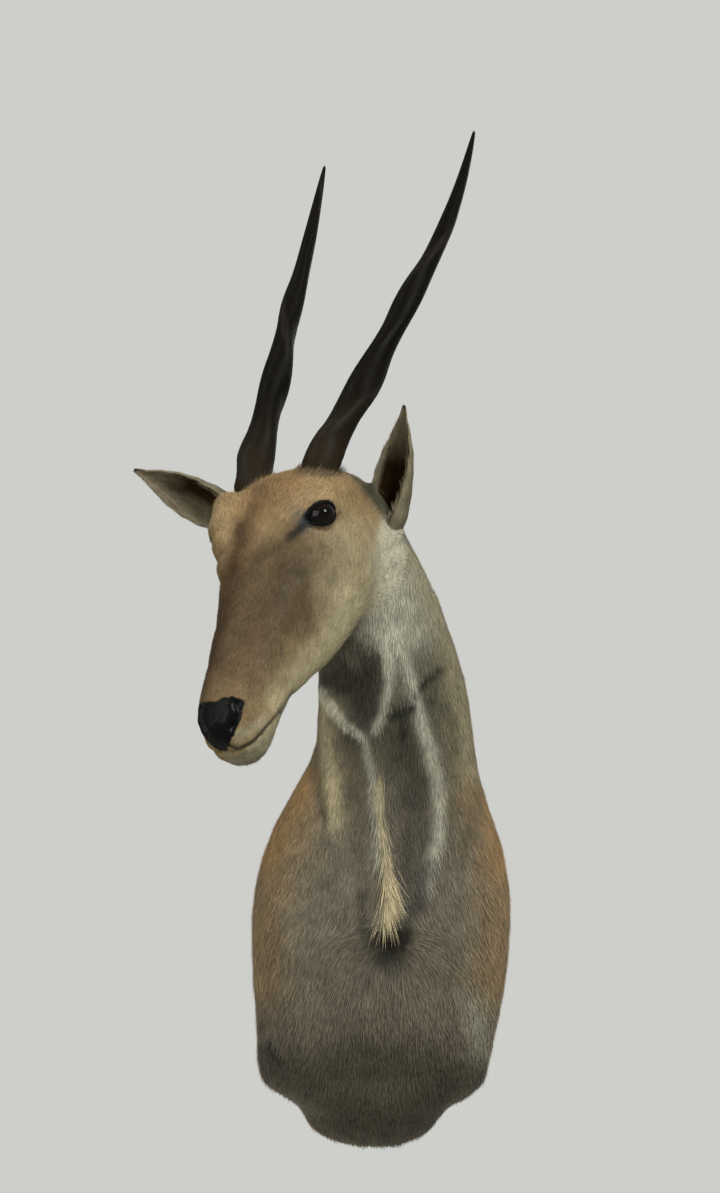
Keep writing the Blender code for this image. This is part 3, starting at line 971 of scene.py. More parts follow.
BODY_MARKS = (
    Mark(Tone.CHEST, 0.8, 0.150, ((0.0, 0.05), (0.0, -0.10)), 3.0),
    Mark(Tone.SHOULDER, 0.85, 0.050, ((-0.120, 0.240), (-0.175, 0.130), (-0.200, 0.040), (-0.205, -0.080))),
    Mark(Tone.SHOULDER, 0.85, 0.050, ((0.175, 0.220), (0.200, 0.120), (0.205, 0.020), (0.195, -0.080))),
    Mark(Tone.TAN, 0.85, 0.028, ((-0.125, 0.250), (-0.165, 0.185), (-0.185, 0.130))),
    Mark(Tone.TAN, 0.90, 0.026, ((0.172, 0.225), (0.188, 0.170), (0.198, 0.110))),
    # Painted highlight: the lit side of the neck, left of its ridge.
    Mark(Tone.NECK_SIDE, 0.95, 0.016, ((-0.090, 0.375), (-0.085, 0.272), (-0.074, 0.176))),
    # Painted shade in a crease, on its sunken fold.
    Mark(Tone.CHEST_LOW, 0.50, 0.008, ((-0.107, 0.275), (-0.098, 0.208), (-0.092, 0.150))),
    # Painted shade in a crease, on its sunken fold.
    Mark(Tone.CHEST_LOW, 0.55, 0.010, ((0.158, 0.230), (0.144, 0.160), (0.131, 0.096))),
    # Painted highlight on the lit right side of the neck.
    Mark(Tone.NECK_SIDE, 0.70, 0.030, ((0.060, 0.600), (0.118, 0.450), (0.140, 0.340), (0.145, 0.260))),
    Mark(Tone.PALE_GREY, 0.85, 0.040, ((-0.010, 0.610), (0.005, 0.520), (0.008, 0.450))),
    Mark(Tone.PALE_GREY, 0.45, 0.030, ((0.040, 0.560), (0.060, 0.480))),
    # Painted shade in the recess between jaw and neck, over its sunken folds.
    Mark(Tone.THROAT, 0.95, 0.026, ((-0.075, 0.400), (-0.040, 0.400), (-0.020, 0.385), (-0.025, 0.350), (-0.015, 0.430)), 4.0),
    # Painted highlight on the tops of raised folds, in this line and the next two.
    Mark(Tone.PALE_GREY, 0.70, 0.007, ((-0.098, 0.384), (-0.062, 0.336), (-0.034, 0.310)), 3.0),
    Mark(Tone.PALE_GREY, 0.45, 0.008, ((-0.026, 0.306), (-0.018, 0.264), (-0.010, 0.212), (-0.003, 0.110))),
    Mark(Tone.PALE_GREY, 0.75, 0.008, ((0.002, 0.470), (0.008, 0.430), (0.010, 0.396), (0.005, 0.345), (-0.008, 0.326))),
    # Painted shade in the groove beside the muscle ridge, on a sunken fold.
    Mark(Tone.HOLLOW, 0.75, 0.032, ((0.036, 0.290), (0.055, 0.220), (0.062, 0.150), (0.046, 0.080)), 3.0),
    # Painted highlight on the top of the raised muscle ridge, in this line and the next.
    Mark(Tone.PALE_GREY, 0.75, 0.011, ((0.020, 0.470), (0.038, 0.428), (0.050, 0.386), (0.060, 0.345), (0.073, 0.310))),
    Mark(Tone.PALE_GREY, 0.60, 0.011, ((0.073, 0.310), (0.087, 0.262), (0.095, 0.210), (0.092, 0.145), (0.070, 0.066))),
    # Painted shade where the neck's groove runs down towards the whorl.
    Mark(Tone.BRISKET, 0.70, 0.012, ((0.079, 0.110), (0.056, 0.045), (0.036, 0.012)), 2.0),
    # Painted shade where the groove left of the mane runs down to the whorl.
    Mark(Tone.BRISKET, 0.55, 0.010, ((-0.030, 0.060), (-0.022, 0.000), (-0.010, -0.012))),
    Mark(Tone.MANE, 0.60, 0.005, ((-0.002, 0.245), (0.000, 0.180), (0.008, 0.120), (0.012, 0.060), (0.006, 0.012)), 3.0),
    # Painted shade in the hollow of the whorl, on its sunken spot.
    Mark(Tone.BRISKET, 0.97, 0.028, ((0.014, -0.014), (0.010, -0.036)), 3.0),
    Mark(Tone.PALE_GREY, 0.06, 0.040, ((-0.110, -0.120), (0.000, -0.105), (0.130, -0.125))),
    Mark(Tone.PALE_GREY, 0.35, 0.022, ((0.150, -0.120), (0.158, -0.190))),
    # Painted shade along the bottom of the chest, in this line and the next three.
    Mark(Tone.CHEST_LOW, 0.80, 0.060, ((-0.130, -0.235), (0.000, -0.225), (0.120, -0.240)), 3.0, False),
    Mark(Tone.BRISKET, 0.40, 0.040, ((-0.070, -0.215), (0.010, -0.205), (0.090, -0.220)), 3.0),
    # Painted shade under the cut leg stubs, on their sunken folds.
    Mark(Tone.BRISKET, 0.45, 0.026, ((-0.190, -0.205), (-0.150, -0.225), (-0.110, -0.250)), 2.0),
    Mark(Tone.BRISKET, 0.45, 0.026, ((0.165, -0.235), (0.110, -0.245), (0.090, -0.270)), 2.0),
    Mark(Tone.TONGUE, 0.85, 0.045, ((-0.060, -0.300), (0.010, -0.310), (0.060, -0.290)), 3.0, False),
    Mark(Tone.STAIN, 0.95, 0.009, ((0.014, 0.345), (0.030, 0.350), (0.046, 0.357))),
    Mark(Tone.STAIN, 0.75, 0.009, ((0.036, 0.330), (0.034, 0.312))),
    Mark(Tone.STAIN, 1.00, 0.0046, ((0.065, 0.390), (0.075, 0.402), (0.096, 0.419))),
    Mark(Tone.STAIN, 0.90, 0.0045, ((0.055, 0.376),)),
    Mark(Tone.STAIN, 0.85, 0.0040, ((0.068, 0.366),)),
    Mark(Tone.STAIN, 0.70, 0.0060, ((0.078, 0.372),)),
    Mark(Tone.STAIN, 0.50, 0.0060, ((0.050, 0.205),)),
    Mark(Tone.STAIN, 0.90, 0.0075, ((-0.180, -0.185), (-0.164, -0.200))),
    Mark(Tone.STAIN, 0.85, 0.0060, ((-0.190, -0.150),)),
    Mark(Tone.STAIN, 0.55, 0.0040, ((-0.155, -0.170),)),
)
BODY_FOLDS = (
    Fold(0.0050, 0.007, ((-0.098, 0.384), (-0.062, 0.336), (-0.034, 0.310))),
    Fold(0.0035, 0.008, ((-0.026, 0.306), (-0.018, 0.264), (-0.010, 0.212), (-0.003, 0.110))),
    Fold(-0.0080, 0.030, ((-0.065, 0.395), (-0.025, 0.385))),
    Fold(-0.0060, 0.016, ((-0.075, 0.385), (-0.030, 0.340))),
    Fold(0.0050, 0.009, ((0.002, 0.470), (0.008, 0.430), (0.010, 0.396), (0.005, 0.345), (-0.008, 0.326))),
    Fold(0.0060, 0.012, ((0.020, 0.470), (0.038, 0.428), (0.050, 0.386), (0.060, 0.345), (0.073, 0.310))),
    Fold(0.0065, 0.013, ((0.073, 0.310), (0.087, 0.262), (0.095, 0.210), (0.092, 0.145), (0.070, 0.066))),
    Fold(-0.0090, 0.024, ((0.036, 0.300), (0.050, 0.220), (0.058, 0.140), (0.042, 0.070))),
    Fold(-0.0040, 0.012, ((0.024, 0.450), (0.026, 0.390))),
    Fold(-0.0060, 0.022, ((-0.050, 0.220), (-0.042, 0.120), (-0.030, 0.040))),
    Fold(0.0040, 0.010, ((-0.002, 0.260), (0.003, 0.160), (0.010, 0.080), (0.006, 0.016))),
    Fold(-0.0090, 0.016, ((0.012, -0.026),)),
    Fold(0.0040, 0.010, ((-0.014, -0.012), (0.006, -0.004), (0.030, -0.008))),
    Fold(-0.0060, 0.010, ((-0.107, 0.275), (-0.098, 0.208), (-0.092, 0.150))),
    Fold(0.0040, 0.014, ((-0.088, 0.350), (-0.083, 0.260), (-0.074, 0.180))),
    Fold(-0.0060, 0.012, ((0.158, 0.230), (0.144, 0.160), (0.131, 0.096))),
    Fold(-0.0030, 0.004, ((-0.048, 0.452), (-0.053, 0.434), (-0.080, 0.400))),
    Fold(-0.0050, 0.018, ((-0.150, -0.190), (-0.120, -0.245))),
    Fold(-0.0050, 0.018, ((0.150, -0.190), (0.125, -0.245))),
)
NOSTRIL: tuple[Spot, ...] = ((0.397, 0.031, -0.052), (0.406, 0.035, -0.058), (0.417, 0.031, -0.064), (0.424, 0.022, -0.070))
MOUTH: tuple[Spot, ...] = (
    (0.440, 0.000, -0.104),
    (0.434, 0.024, -0.105),
    (0.418, 0.040, -0.107),
    (0.395, 0.047, -0.110),
    (0.365, 0.049, -0.118),
    (0.325, 0.049, -0.130),
)
FACE_FEATURES = (
    Feature(-0.0095, 0.0040, NOSTRIL),
    Feature(0.0016, 0.0080, ((0.392, 0.040, -0.050), (0.407, 0.044, -0.062), (0.421, 0.039, -0.074))),
    Feature(0.0014, 0.0090, ((0.396, 0.020, -0.044), (0.412, 0.022, -0.053), (0.424, 0.014, -0.062))),
    Feature(-0.0016, 0.0022, ((0.424, 0.000, -0.062), (0.436, 0.000, -0.085), (0.438, 0.000, -0.100))),
    Feature(-0.0060, 0.0024, MOUTH),
    Feature(0.0024, 0.0070, tuple((along, out, up + 0.009) for along, out, up in MOUTH[1:5])),
    Feature(0.0020, 0.0080, tuple((along, out, up - 0.010) for along, out, up in MOUTH[:5])),
    Feature(-0.0020, 0.0060, ((0.330, 0.049, -0.126), (0.312, 0.050, -0.112))),
    Feature(-0.0022, 0.0050, ((0.102, 0.078, -0.016), (0.122, 0.058, -0.014), (0.140, 0.050, -0.018))),
    Feature(0.0028, 0.0100, ((0.150, 0.060, -0.018), (0.210, 0.046, -0.026))),
    Feature(-0.0022, 0.0100, ((0.160, 0.076, -0.060), (0.235, 0.062, -0.075), (0.300, 0.054, -0.085))),
    Feature(0.0025, 0.0080, ((0.120, 0.090, -0.070), (0.165, 0.083, -0.092), (0.215, 0.068, -0.110))),
)
# The far brow and cheekbone, which hide the far eye: places on the wall seen from the front, and radii.
FAR_BROW = (
    ((-0.242, 0.672), 0.029),
    ((-0.248, 0.643), 0.029),
    ((-0.246, 0.611), 0.026),
    ((-0.238, 0.582), 0.025),
)
MANE_LINE: tuple[Place, ...] = ((-0.002, 0.245), (0.000, 0.180), (0.008, 0.120), (0.012, 0.060), (0.008, 0.030))
JAW_FLOOR = Rows((-0.05, -0.212), (0.008, -0.234), (0.082, -0.238), (0.163, -0.225), (0.259, -0.185), (0.355, -0.154), (0.44, -0.131))
LEATHER_MIDDLE = -0.006
LEATHER_HALF_WIDTH = Rows(
    (-0.102, 0.006), (-0.096, 0.009), (-0.082, 0.023), (-0.069, 0.038), (-0.059, 0.043), (-0.048, 0.040), (-0.036, 0.034)
)


@dataclass
class Hide:
    """The whole hide: skin, its colours and folds, and the hairs on it."""

    voxel: float = 0.0053
    soften_rounds: int = 17
    sink: float = 0.0022
    muzzle_rounds: int = 13
    eye_place: Spot = (0.086, 0.083, -0.025)
    ear_tips: tuple[Spot, Spot] = ((0.029, -0.365, 0.812), (-0.363, -0.362, 0.717))
    ear_roots: tuple[Spot, Spot] = ((0.006, -0.338, 0.617), (-0.200, -0.345, 0.642))
    ear_cut: float = 0.14
    whorl: Place = (0.013, -0.014)
    cape: bpy.types.Object | None = field(default=None, init=False)

    def build(self) -> bpy.types.Object:
        """Builds the skin from a copy of the solid.

        Returns:
            The skin.
        """
        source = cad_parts["cape"]
        self.cape = bpy.data.objects.new("hide_skin", source.data.copy())
        bpy.context.scene.collection.objects.link(self.cape)
        self.cape.data.materials.clear()
        self.trim_ears()
        self.raise_brow()
        remesh = self.cape.modifiers.new("even", "REMESH")
        remesh.mode = "VOXEL"
        remesh.voxel_size = self.voxel
        soften = self.cape.modifiers.new("soften", "SMOOTH")
        soften.factor = 0.5
        soften.iterations = self.soften_rounds
        settle(self.cape)
        points = read_points(self.cape)
        nose = smooth(HEAD.inward(points)[:, 0], 0.345, 0.385) * self.head_share(points)
        self.soften(nose, 31, 0.52)
        self.refine()
        points = read_points(self.cape)
        write_points(self.cape, points - read_normals(self.cape) * self.sink)
        self.fold_body()
        self.shape_face()
        self.soften(self.bare_share(read_points(self.cape)), 19)
        self.cape.data.shade_smooth()
        return self.cape

    def trim_ears(self) -> None:
        """Cuts the solid's thin ears off the copy and closes it, because they are made apart."""
        shape = bmesh.new()
        shape.from_mesh(self.cape.data)
        bmesh.ops.remove_doubles(shape, verts=shape.verts, dist=1e-5)
        gone = []
        for root, tip in zip(self.ear_roots, self.ear_tips):
            start, axis = Vector(root), Vector(tip) - Vector(root)
            for vertex in shape.verts:
                share = (vertex.co - start).dot(axis) / axis.length_squared
                away = (vertex.co - start - axis * share).length
                if share > self.ear_cut and away < 0.036:
                    gone.append(vertex)
        bmesh.ops.delete(shape, geom=gone, context="VERTS")
        rims = [edge for edge in shape.edges if edge.is_boundary]
        bmesh.ops.holes_fill(shape, edges=rims, sides=0)
        shape.to_mesh(self.cape.data)
        shape.free()

    def raise_brow(self) -> None:
        """Adds the far brow and cheekbone to the copy, each where the line of sight meets the hide."""
        shape = bmesh.new()
        shape.from_mesh(self.cape.data)
        tree = BVHTree.FromBMesh(shape)
        camera = Vector((VIEWER.across, -VIEWER.away, VIEWER.height))
        for (x, z), radius in FAR_BROW:
            sight = (Vector((x, 0.0, z)) - camera).normalized()
            spot = tree.ray_cast(camera, sight)[0] + sight * 0.004
            bmesh.ops.create_icosphere(shape, subdivisions=3, radius=radius, matrix=Matrix.Translation(spot))
        shape.to_mesh(self.cape.data)
        shape.free()

    def soften(self, shares: np.ndarray, rounds: int, fill: float = 0.0) -> None:
        """Smooths a region of the skin.

        Args:
            shares: How far each point belongs to the region.
            rounds: How many times each point moves towards the middle of its neighbours.
            fill: How strongly each round then fills the region out again.
        """
        ends = np.empty(len(self.cape.data.edges) * 2, dtype=np.int32)
        self.cape.data.edges.foreach_get("vertices", ends)
        first, second = ends.reshape(-1, 2).T
        own, other = np.concatenate([first, second]), np.concatenate([second, first])
        points = read_points(self.cape)
        many = np.bincount(own, minlength=len(points))[:, None]
        for _ in range(rounds):
            for factor in (0.5, -fill):
                sums = [np.bincount(own, weights=points[other, axis], minlength=len(points)) for axis in range(3)]
                points += (np.stack(sums, 1) / many - points) * (factor * shares)[:, None]
        write_points(self.cape, points)

    def refine(self) -> None:
        """Makes the mesh finer round the muzzle and the eyes."""
        shape = bmesh.new()
        shape.from_mesh(self.cape.data)
        for rounds in range(2):
            points = np.array([vertex.co[:] for vertex in shape.verts])
            places = HEAD.inward(points)
            side = np.abs(places[:, 1])
            muzzle = (places[:, 0] > (0.318, 0.360)[rounds]) & (self.head_share(points) > 0)
            eye = np.linalg.norm(np.stack([places[:, 0], side, places[:, 2]], 1) - self.eye_place, axis=1) < (0.042, 0.033)[rounds]
            wanted = muzzle | eye
            edges = [edge for edge in shape.edges if wanted[edge.verts[0].index] and wanted[edge.verts[1].index]]
            bmesh.ops.subdivide_edges(shape, edges=edges, cuts=1, use_grid_fill=True, smooth=0.0)
            shape.verts.index_update()
        bmesh.ops.triangulate(shape, faces=[face for face in shape.faces if len(face.verts) > 4])
        shape.to_mesh(self.cape.data)
        shape.free()
        points = read_points(self.cape)
        muzzle = smooth(HEAD.inward(points)[:, 0], 0.340, 0.362) * self.head_share(points)
        self.soften(muzzle, self.muzzle_rounds)

    def fold_body(self) -> None:
        """Raises and sinks the folds of neck and chest."""
        points, normals = read_points(self.cape), read_normals(self.cape)
        seen = VIEWER.seen(points)
        front = smooth(VIEWER.facing(points, normals), 0.0, 0.35)
        rise = np.zeros(len(points))
        for fold in BODY_FOLDS:
            away, share = path_distance(seen, fold.path)
            ends = 1 - 0.5 * np.abs(2 * share - 1) ** 4
            rise += fold.height * np.exp(-((away / fold.width) ** 2)) * ends
        rise *= front * (1 - self.head_share(points))
        rise += 0.0008 * ripple(points, 0.06, 3) + 0.0004 * ripple(points, 0.022, 4)
        write_points(self.cape, points + normals * rise[:, None])

    def shape_face(self) -> None:
        """Raises and sinks the features of the face, alike on both sides."""
        points, normals = read_points(self.cape), read_normals(self.cape)
        places = HEAD.inward(points)
        places[:, 1] = np.abs(places[:, 1])
        rise = np.zeros(len(points))
        for feature in FACE_FEATURES:
            away, _ = path_distance(places, feature.path)
            rise += feature.height * np.exp(-((away / feature.width) ** 2))
        rise *= self.head_share(points)
        write_points(self.cape, points + normals * rise[:, None])

    def head_share(self, points: np.ndarray) -> np.ndarray:
        """How far points belong to the head, not the neck.

        Args:
            points: Points of the skin.

        Returns:
            1 on the head and 0 on the neck.
        """
        places = HEAD.inward(points)
        behind = smooth(places[:, 0], -0.050, -0.010)
        above = smooth(places[:, 2] - JAW_FLOOR.at(places[:, 0]), -0.020, 0.010)
        beside = smooth(np.abs(places[:, 1]), 0.125, 0.105)
        return behind * above * beside

    def bare_share(self, points: np.ndarray) -> np.ndarray:
        """How bare of hair the nose's leather is.

        Args:
            points: Points of the skin.

        Returns:
            1 on the leather and 0 on the hide.
        """
        places = HEAD.inward(points)
        jitter = 0.0014 * ripple(points, 0.012, 11)
        side = np.abs(places[:, 1] - LEATHER_MIDDLE)
        top = 0.391 + 0.003 * np.cos(side / 0.010)
        inside = smooth(LEATHER_HALF_WIDTH.at(places[:, 2]) - side + jitter, -0.0012, 0.0012)
        low = smooth(places[:, 0] - top + jitter, -0.0015, 0.0015)
        return inside * low * smooth(places[:, 2], -0.103, -0.099)

    def paint(self) -> None:
        """Stores the coat's colours at the skin's points."""
        points, normals = read_points(self.cape), read_normals(self.cape)
        facing = VIEWER.facing(points, normals)
        head = self.head_share(points)[:, None]
        places = HEAD.inward(points)
        mirrored = HEAD.outward(np.stack([places[:, 0], np.abs(places[:, 1]), places[:, 2]], 1))
        direct = smooth(facing, -0.05, 0.2)[:, None]
        face = self.painted(points, np.array(Tone.FOREHEAD.value), FACE_MARKS, None)
        far_face = self.painted(mirrored, np.array(Tone.FOREHEAD.value), FACE_MARKS, None)
        face = face * direct + far_face * (1 - direct)
        up_neck = smooth(points[:, 2], 0.05, 0.40)[:, None]
        base = np.array(Tone.CHEST.value) * (1 - up_neck) + np.array(Tone.NECK.value) * up_neck
        away = smooth(facing, 0.25, -0.25)[:, None]
        back = np.array(Tone.SHOULDER.value) * 0.6 + np.array(Tone.TAN.value) * 0.4
        base = base * (1 - away) + back * away
        body = self.painted(points, base, BODY_MARKS, smooth(facing, -0.1, 0.25))
        coat = body * (1 - head) + face * head
        _, ring = self.horn_rings(points)
        coat += (np.array(Tone.LID.value) * 1.6 - coat) * (0.75 * ring[:, None])
        keep(self.cape, "coat", coat)
        keep(self.cape, "bare", self.bare_share(points))

    def painted(
        self, points: np.ndarray, base: np.ndarray, marks: Sequence[Mark], front: np.ndarray | None
    ) -> np.ndarray:
        """Lays marks on a base colour.

        Args:
            points: Points of the skin.
            base: Their colour before.
            marks: What is laid on.
            front: How far each point faces the front, or None for all.

        Returns:
            The colours.
        """
        waver = np.stack([ripple(points, 0.05, 21), ripple(points, 0.05, 22)], 1) * 0.006
        fine = np.stack([ripple(points, 0.014, 23), ripple(points, 0.014, 24)], 1) * 0.0016
        seen = VIEWER.seen(points)
        colours = np.broadcast_to(base, (len(points), 3)).copy()
        for mark in marks:
            loose = min(1.0, mark.reach / 0.02)
            away, _ = path_distance(seen + (waver + fine) * loose, mark.path)
            share = mark.strength * np.exp(-((away / mark.reach) ** mark.hard))
            if front is not None and mark.front_only:
                share = share * front
            colours += (np.array(mark.tone.value) - colours) * share[:, None]
        return colours

    def comb(self) -> None:
        """Stores which way the hairs lie, how long they are, and how many there are."""
        points, normals = read_points(self.cape), read_normals(self.cape)
        head = self.head_share(points)[:, None]
        places = HEAD.inward(points)
        seen = VIEWER.seen(points)
        axes = HEAD.axes()
        outward = np.sign(places[:, 1:2]) * smooth(np.abs(places[:, 1:2]), 0.0, 0.05)
        face = -axes[0] + outward * axes[1] * 0.35 - axes[2] * 0.25 * smooth(places[:, 2:3], -0.05, -0.2)
        spin = np.stack([ripple(points, 0.10, 31), ripple(points, 0.10, 32), ripple(points, 0.10, 33)], 1)
        from_whorl = seen - np.array(self.whorl)
        round_it = np.stack([from_whorl[:, 0], np.zeros(len(points)), from_whorl[:, 1]], 1)
        near = np.exp(-((np.linalg.norm(from_whorl, axis=1) / 0.085) ** 2)) * smooth(seen[:, 1], 0.03, -0.01)
        down = np.array((0.0, 0.25, -1.0)) + 0.0 * points
        spread = np.clip(seen[:, :1] / 0.2, -1, 1) * smooth(points[:, 2:3], 0.25, -0.05)
        down[:, 0] += spread[:, 0] * 0.55
        body = unit(down) * (1 - near[:, None]) + unit(round_it) * near[:, None] * 1.2
        nap = face * head + body * (1 - head) + spin * 0.10
        nap = unit(nap - normals * (nap * normals).sum(axis=1, keepdims=True))
        rooted, ring = self.horn_rings(points)
        nap = nap * (1 - 0.85 * ring[:, None]) + rooted
        keep(self.cape, "nap", nap)
        self.ring, self.socket = ring, self.in_socket(points)
        keep(self.cape, "hair_length", self.lengths(points, places, seen, head[:, 0]))
        self.count(points, normals, places, head[:, 0])

    def horn_rings(self, points: np.ndarray) -> tuple[np.ndarray, np.ndarray]:
        """Where the crown's hair climbs the horns.

        Args:
            points: Points of the skin.

        Returns:
            The way that it climbs, scaled by how far it does, and how far it does.
        """
        way = np.zeros_like(points)
        ring = np.zeros(len(points))
        for horn in HORNS:
            run, away, forward = horn.around_base(points)
            near = np.exp(-(((away - horn.base_radius - 0.003) / 0.005) ** 2)) * smooth(np.abs(run), 0.035, 0.025)
            way += forward * near[:, None]
            ring = np.maximum(ring, near)
        return way, ring

    def in_socket(self, points: np.ndarray) -> np.ndarray:
        """Which points lie inside a horn's socket, where no hair grows.

        Args:
            points: Points of the skin.

        Returns:
            1 inside a socket and 0 outside.
        """
        inside = np.zeros(len(points))
        for horn in HORNS:
            run, away, _ = horn.around_base(points)
            inside = np.maximum(inside, (away < horn.base_radius - 0.0035) * (run < 0.02))
        return inside

    def lengths(self, points: np.ndarray, places: np.ndarray, seen: np.ndarray, head: np.ndarray) -> np.ndarray:
        """How long the hairs are.

        Args:
            points: Points of the skin.
            places: The same in the head's frame.
            seen: The same as seen on the wall.
            head: How far they belong to the head.

        Returns:
            Lengths in metres.
        """
        crown = np.exp(-((places[:, 0] / 0.06) ** 2)) * smooth(places[:, 2], -0.04, 0.0)
        face = 0.0062 + 0.006 * crown + 0.002 * smooth(places[:, 2], -0.1, -0.2) - 0.0025 * smooth(places[:, 0], 0.33, 0.40)
        body = 0.0120 + 0.004 * smooth(points[:, 2], 0.3, 0.0)
        mane, _ = path_distance(seen, ((-0.002, 0.245), (0.003, 0.160), (0.010, 0.080), (0.006, 0.012)))
        body = body + 0.010 * np.exp(-((mane / 0.012) ** 2))
        long = (face * head + body * (1 - head)) * (1 + 0.15 * ripple(points, 0.03, 41))
        return long + 0.007 * self.ring

    def count(self, points: np.ndarray, normals: np.ndarray, places: np.ndarray, head: np.ndarray) -> None:
        """Stores how many hairs grow on each square metre, in four regions.

        Args:
            points: Points of the skin.
            normals: Its normals there.
            places: The points in the head's frame.
            head: How far they belong to the head.
        """
        side = np.stack([places[:, 0], np.abs(places[:, 1]), places[:, 2]], 1)
        socket = np.linalg.norm(side - np.array(self.eye_place), axis=1)
        mouth, _ = path_distance(side, MOUTH)
        grown = (1 - self.bare_share(points)) * smooth(socket, 0.020, 0.024) * (points[:, 1] < -0.006)
        grown = grown * (1 - head * np.exp(-((mouth / 0.0018) ** 2))) * (1 - self.socket)
        front = smooth(VIEWER.facing(points, normals), -0.15, 0.1)
        height = points[:, 2]
        neck = (1 - head) * smooth(height, 0.205, 0.215)
        chest = (1 - head) * (1 - smooth(height, 0.205, 0.215))
        keep(self.cape, "many_on_face", grown * head * (270000 + 200000 * self.ring))
        mane, share = path_distance(VIEWER.seen(points), MANE_LINE)
        many = np.exp(-((mane / (0.0022 + 0.0022 * share)) ** 2)) * front * (1 - head)
        keep(self.cape, "many_in_mane", many * (60000 + 260000 * smooth(share, 0.3, 0.8)))
        keep(self.cape, "many_on_neck", grown * neck * (90000 + 130000 * front))
        keep(self.cape, "many_on_chest", grown * chest * front * 190000)
        keep(self.cape, "many_on_sides", grown * chest * (1 - front) * 130000)

    def grow_mane(self, coats: Coats, barber: Barber) -> bpy.types.Object:
        """Grows the tuft of long pale hair down the middle of the neck.

        Args:
            coats: The materials.
            barber: What grows hairs.

        Returns:
            The tuft.
        """
        skin = bpy.data.objects.new("mane_skin", self.cape.data.copy())
        bpy.context.scene.collection.objects.link(skin)
        points = read_points(skin)
        for name in ("coat", "hair_length"):
            skin.data.attributes.remove(skin.data.attributes[name])
        _, share = path_distance(VIEWER.seen(points), MANE_LINE)
        pale = np.array(Tone.MANE.value) * (0.62 + 0.38 * smooth(share, 0.35, 0.75))[:, None]
        keep(skin, "coat", pale * (1 + 0.12 * ripple(points, 0.008, 81))[:, None])
        keep(skin, "hair_length", 0.020 + 0.026 * smooth(share, 0.2, 0.9))
        tuft = barber.grow_on(skin, "mane_tuft", HairCut(0.00055, 0.12, 0.19, 0.06, 4), "many_in_mane", 17, coats.mane)
        bpy.data.objects.remove(skin)
        return tuft

    def dress(self, coats: Coats, barber: Barber) -> list[bpy.types.Object]:
        """Paints and combs the skin and grows its hairs.

        Args:
            coats: The materials.
            barber: What grows hairs.

        Returns:
            The pieces.
        """
        self.paint()
        self.comb()
        self.cape.data.materials.append(coats.skin)
        cuts = (
            ("hair_of_face", HairCut(0.00053, 0.16, 0.22), "many_on_face"),
            ("hair_of_neck", HairCut(0.00068, 0.14, 0.20), "many_on_neck"),
            ("hair_of_chest", HairCut(0.00086, 0.14, 0.22), "many_on_chest"),
            ("hair_of_shoulders", HairCut(0.00085, 0.13, 0.18), "many_on_sides"),
        )
        pieces = []
        for seed, (name, cut, density) in enumerate(cuts, start=5):
            pieces.append(barber.grow_on(self.cape, name, cut, density, seed, coats.hair))
        pieces.append(self.grow_mane(coats, barber))
        finish_piece(self.cape, "hide", "cape")
        return [finish_piece(piece, "hide") for piece in pieces]


def loft(name: str, rings: np.ndarray, closed: bool = False) -> bpy.types.Object:
    """A closed body through rings of equally many points.

    Args:
        name: Its name.
        rings: The points, by ring and by place round it.
        closed: Whether the last ring joins the first; otherwise both ends are closed with faces.

    Returns:
        The object.
    """
    count, around = rings.shape[:2]
    faces = []
    for k in range(count if closed else count - 1):
        after = (k + 1) % count
        for j in range(around):
            beside = (j + 1) % around
            faces.append((k * around + j, k * around + beside, after * around + beside, after * around + j))
    if not closed:
        faces.append(tuple(range(around))[::-1])
        faces.append(tuple((count - 1) * around + j for j in range(around)))
    return mesh_object(name, rings.reshape(-1, 3), faces)


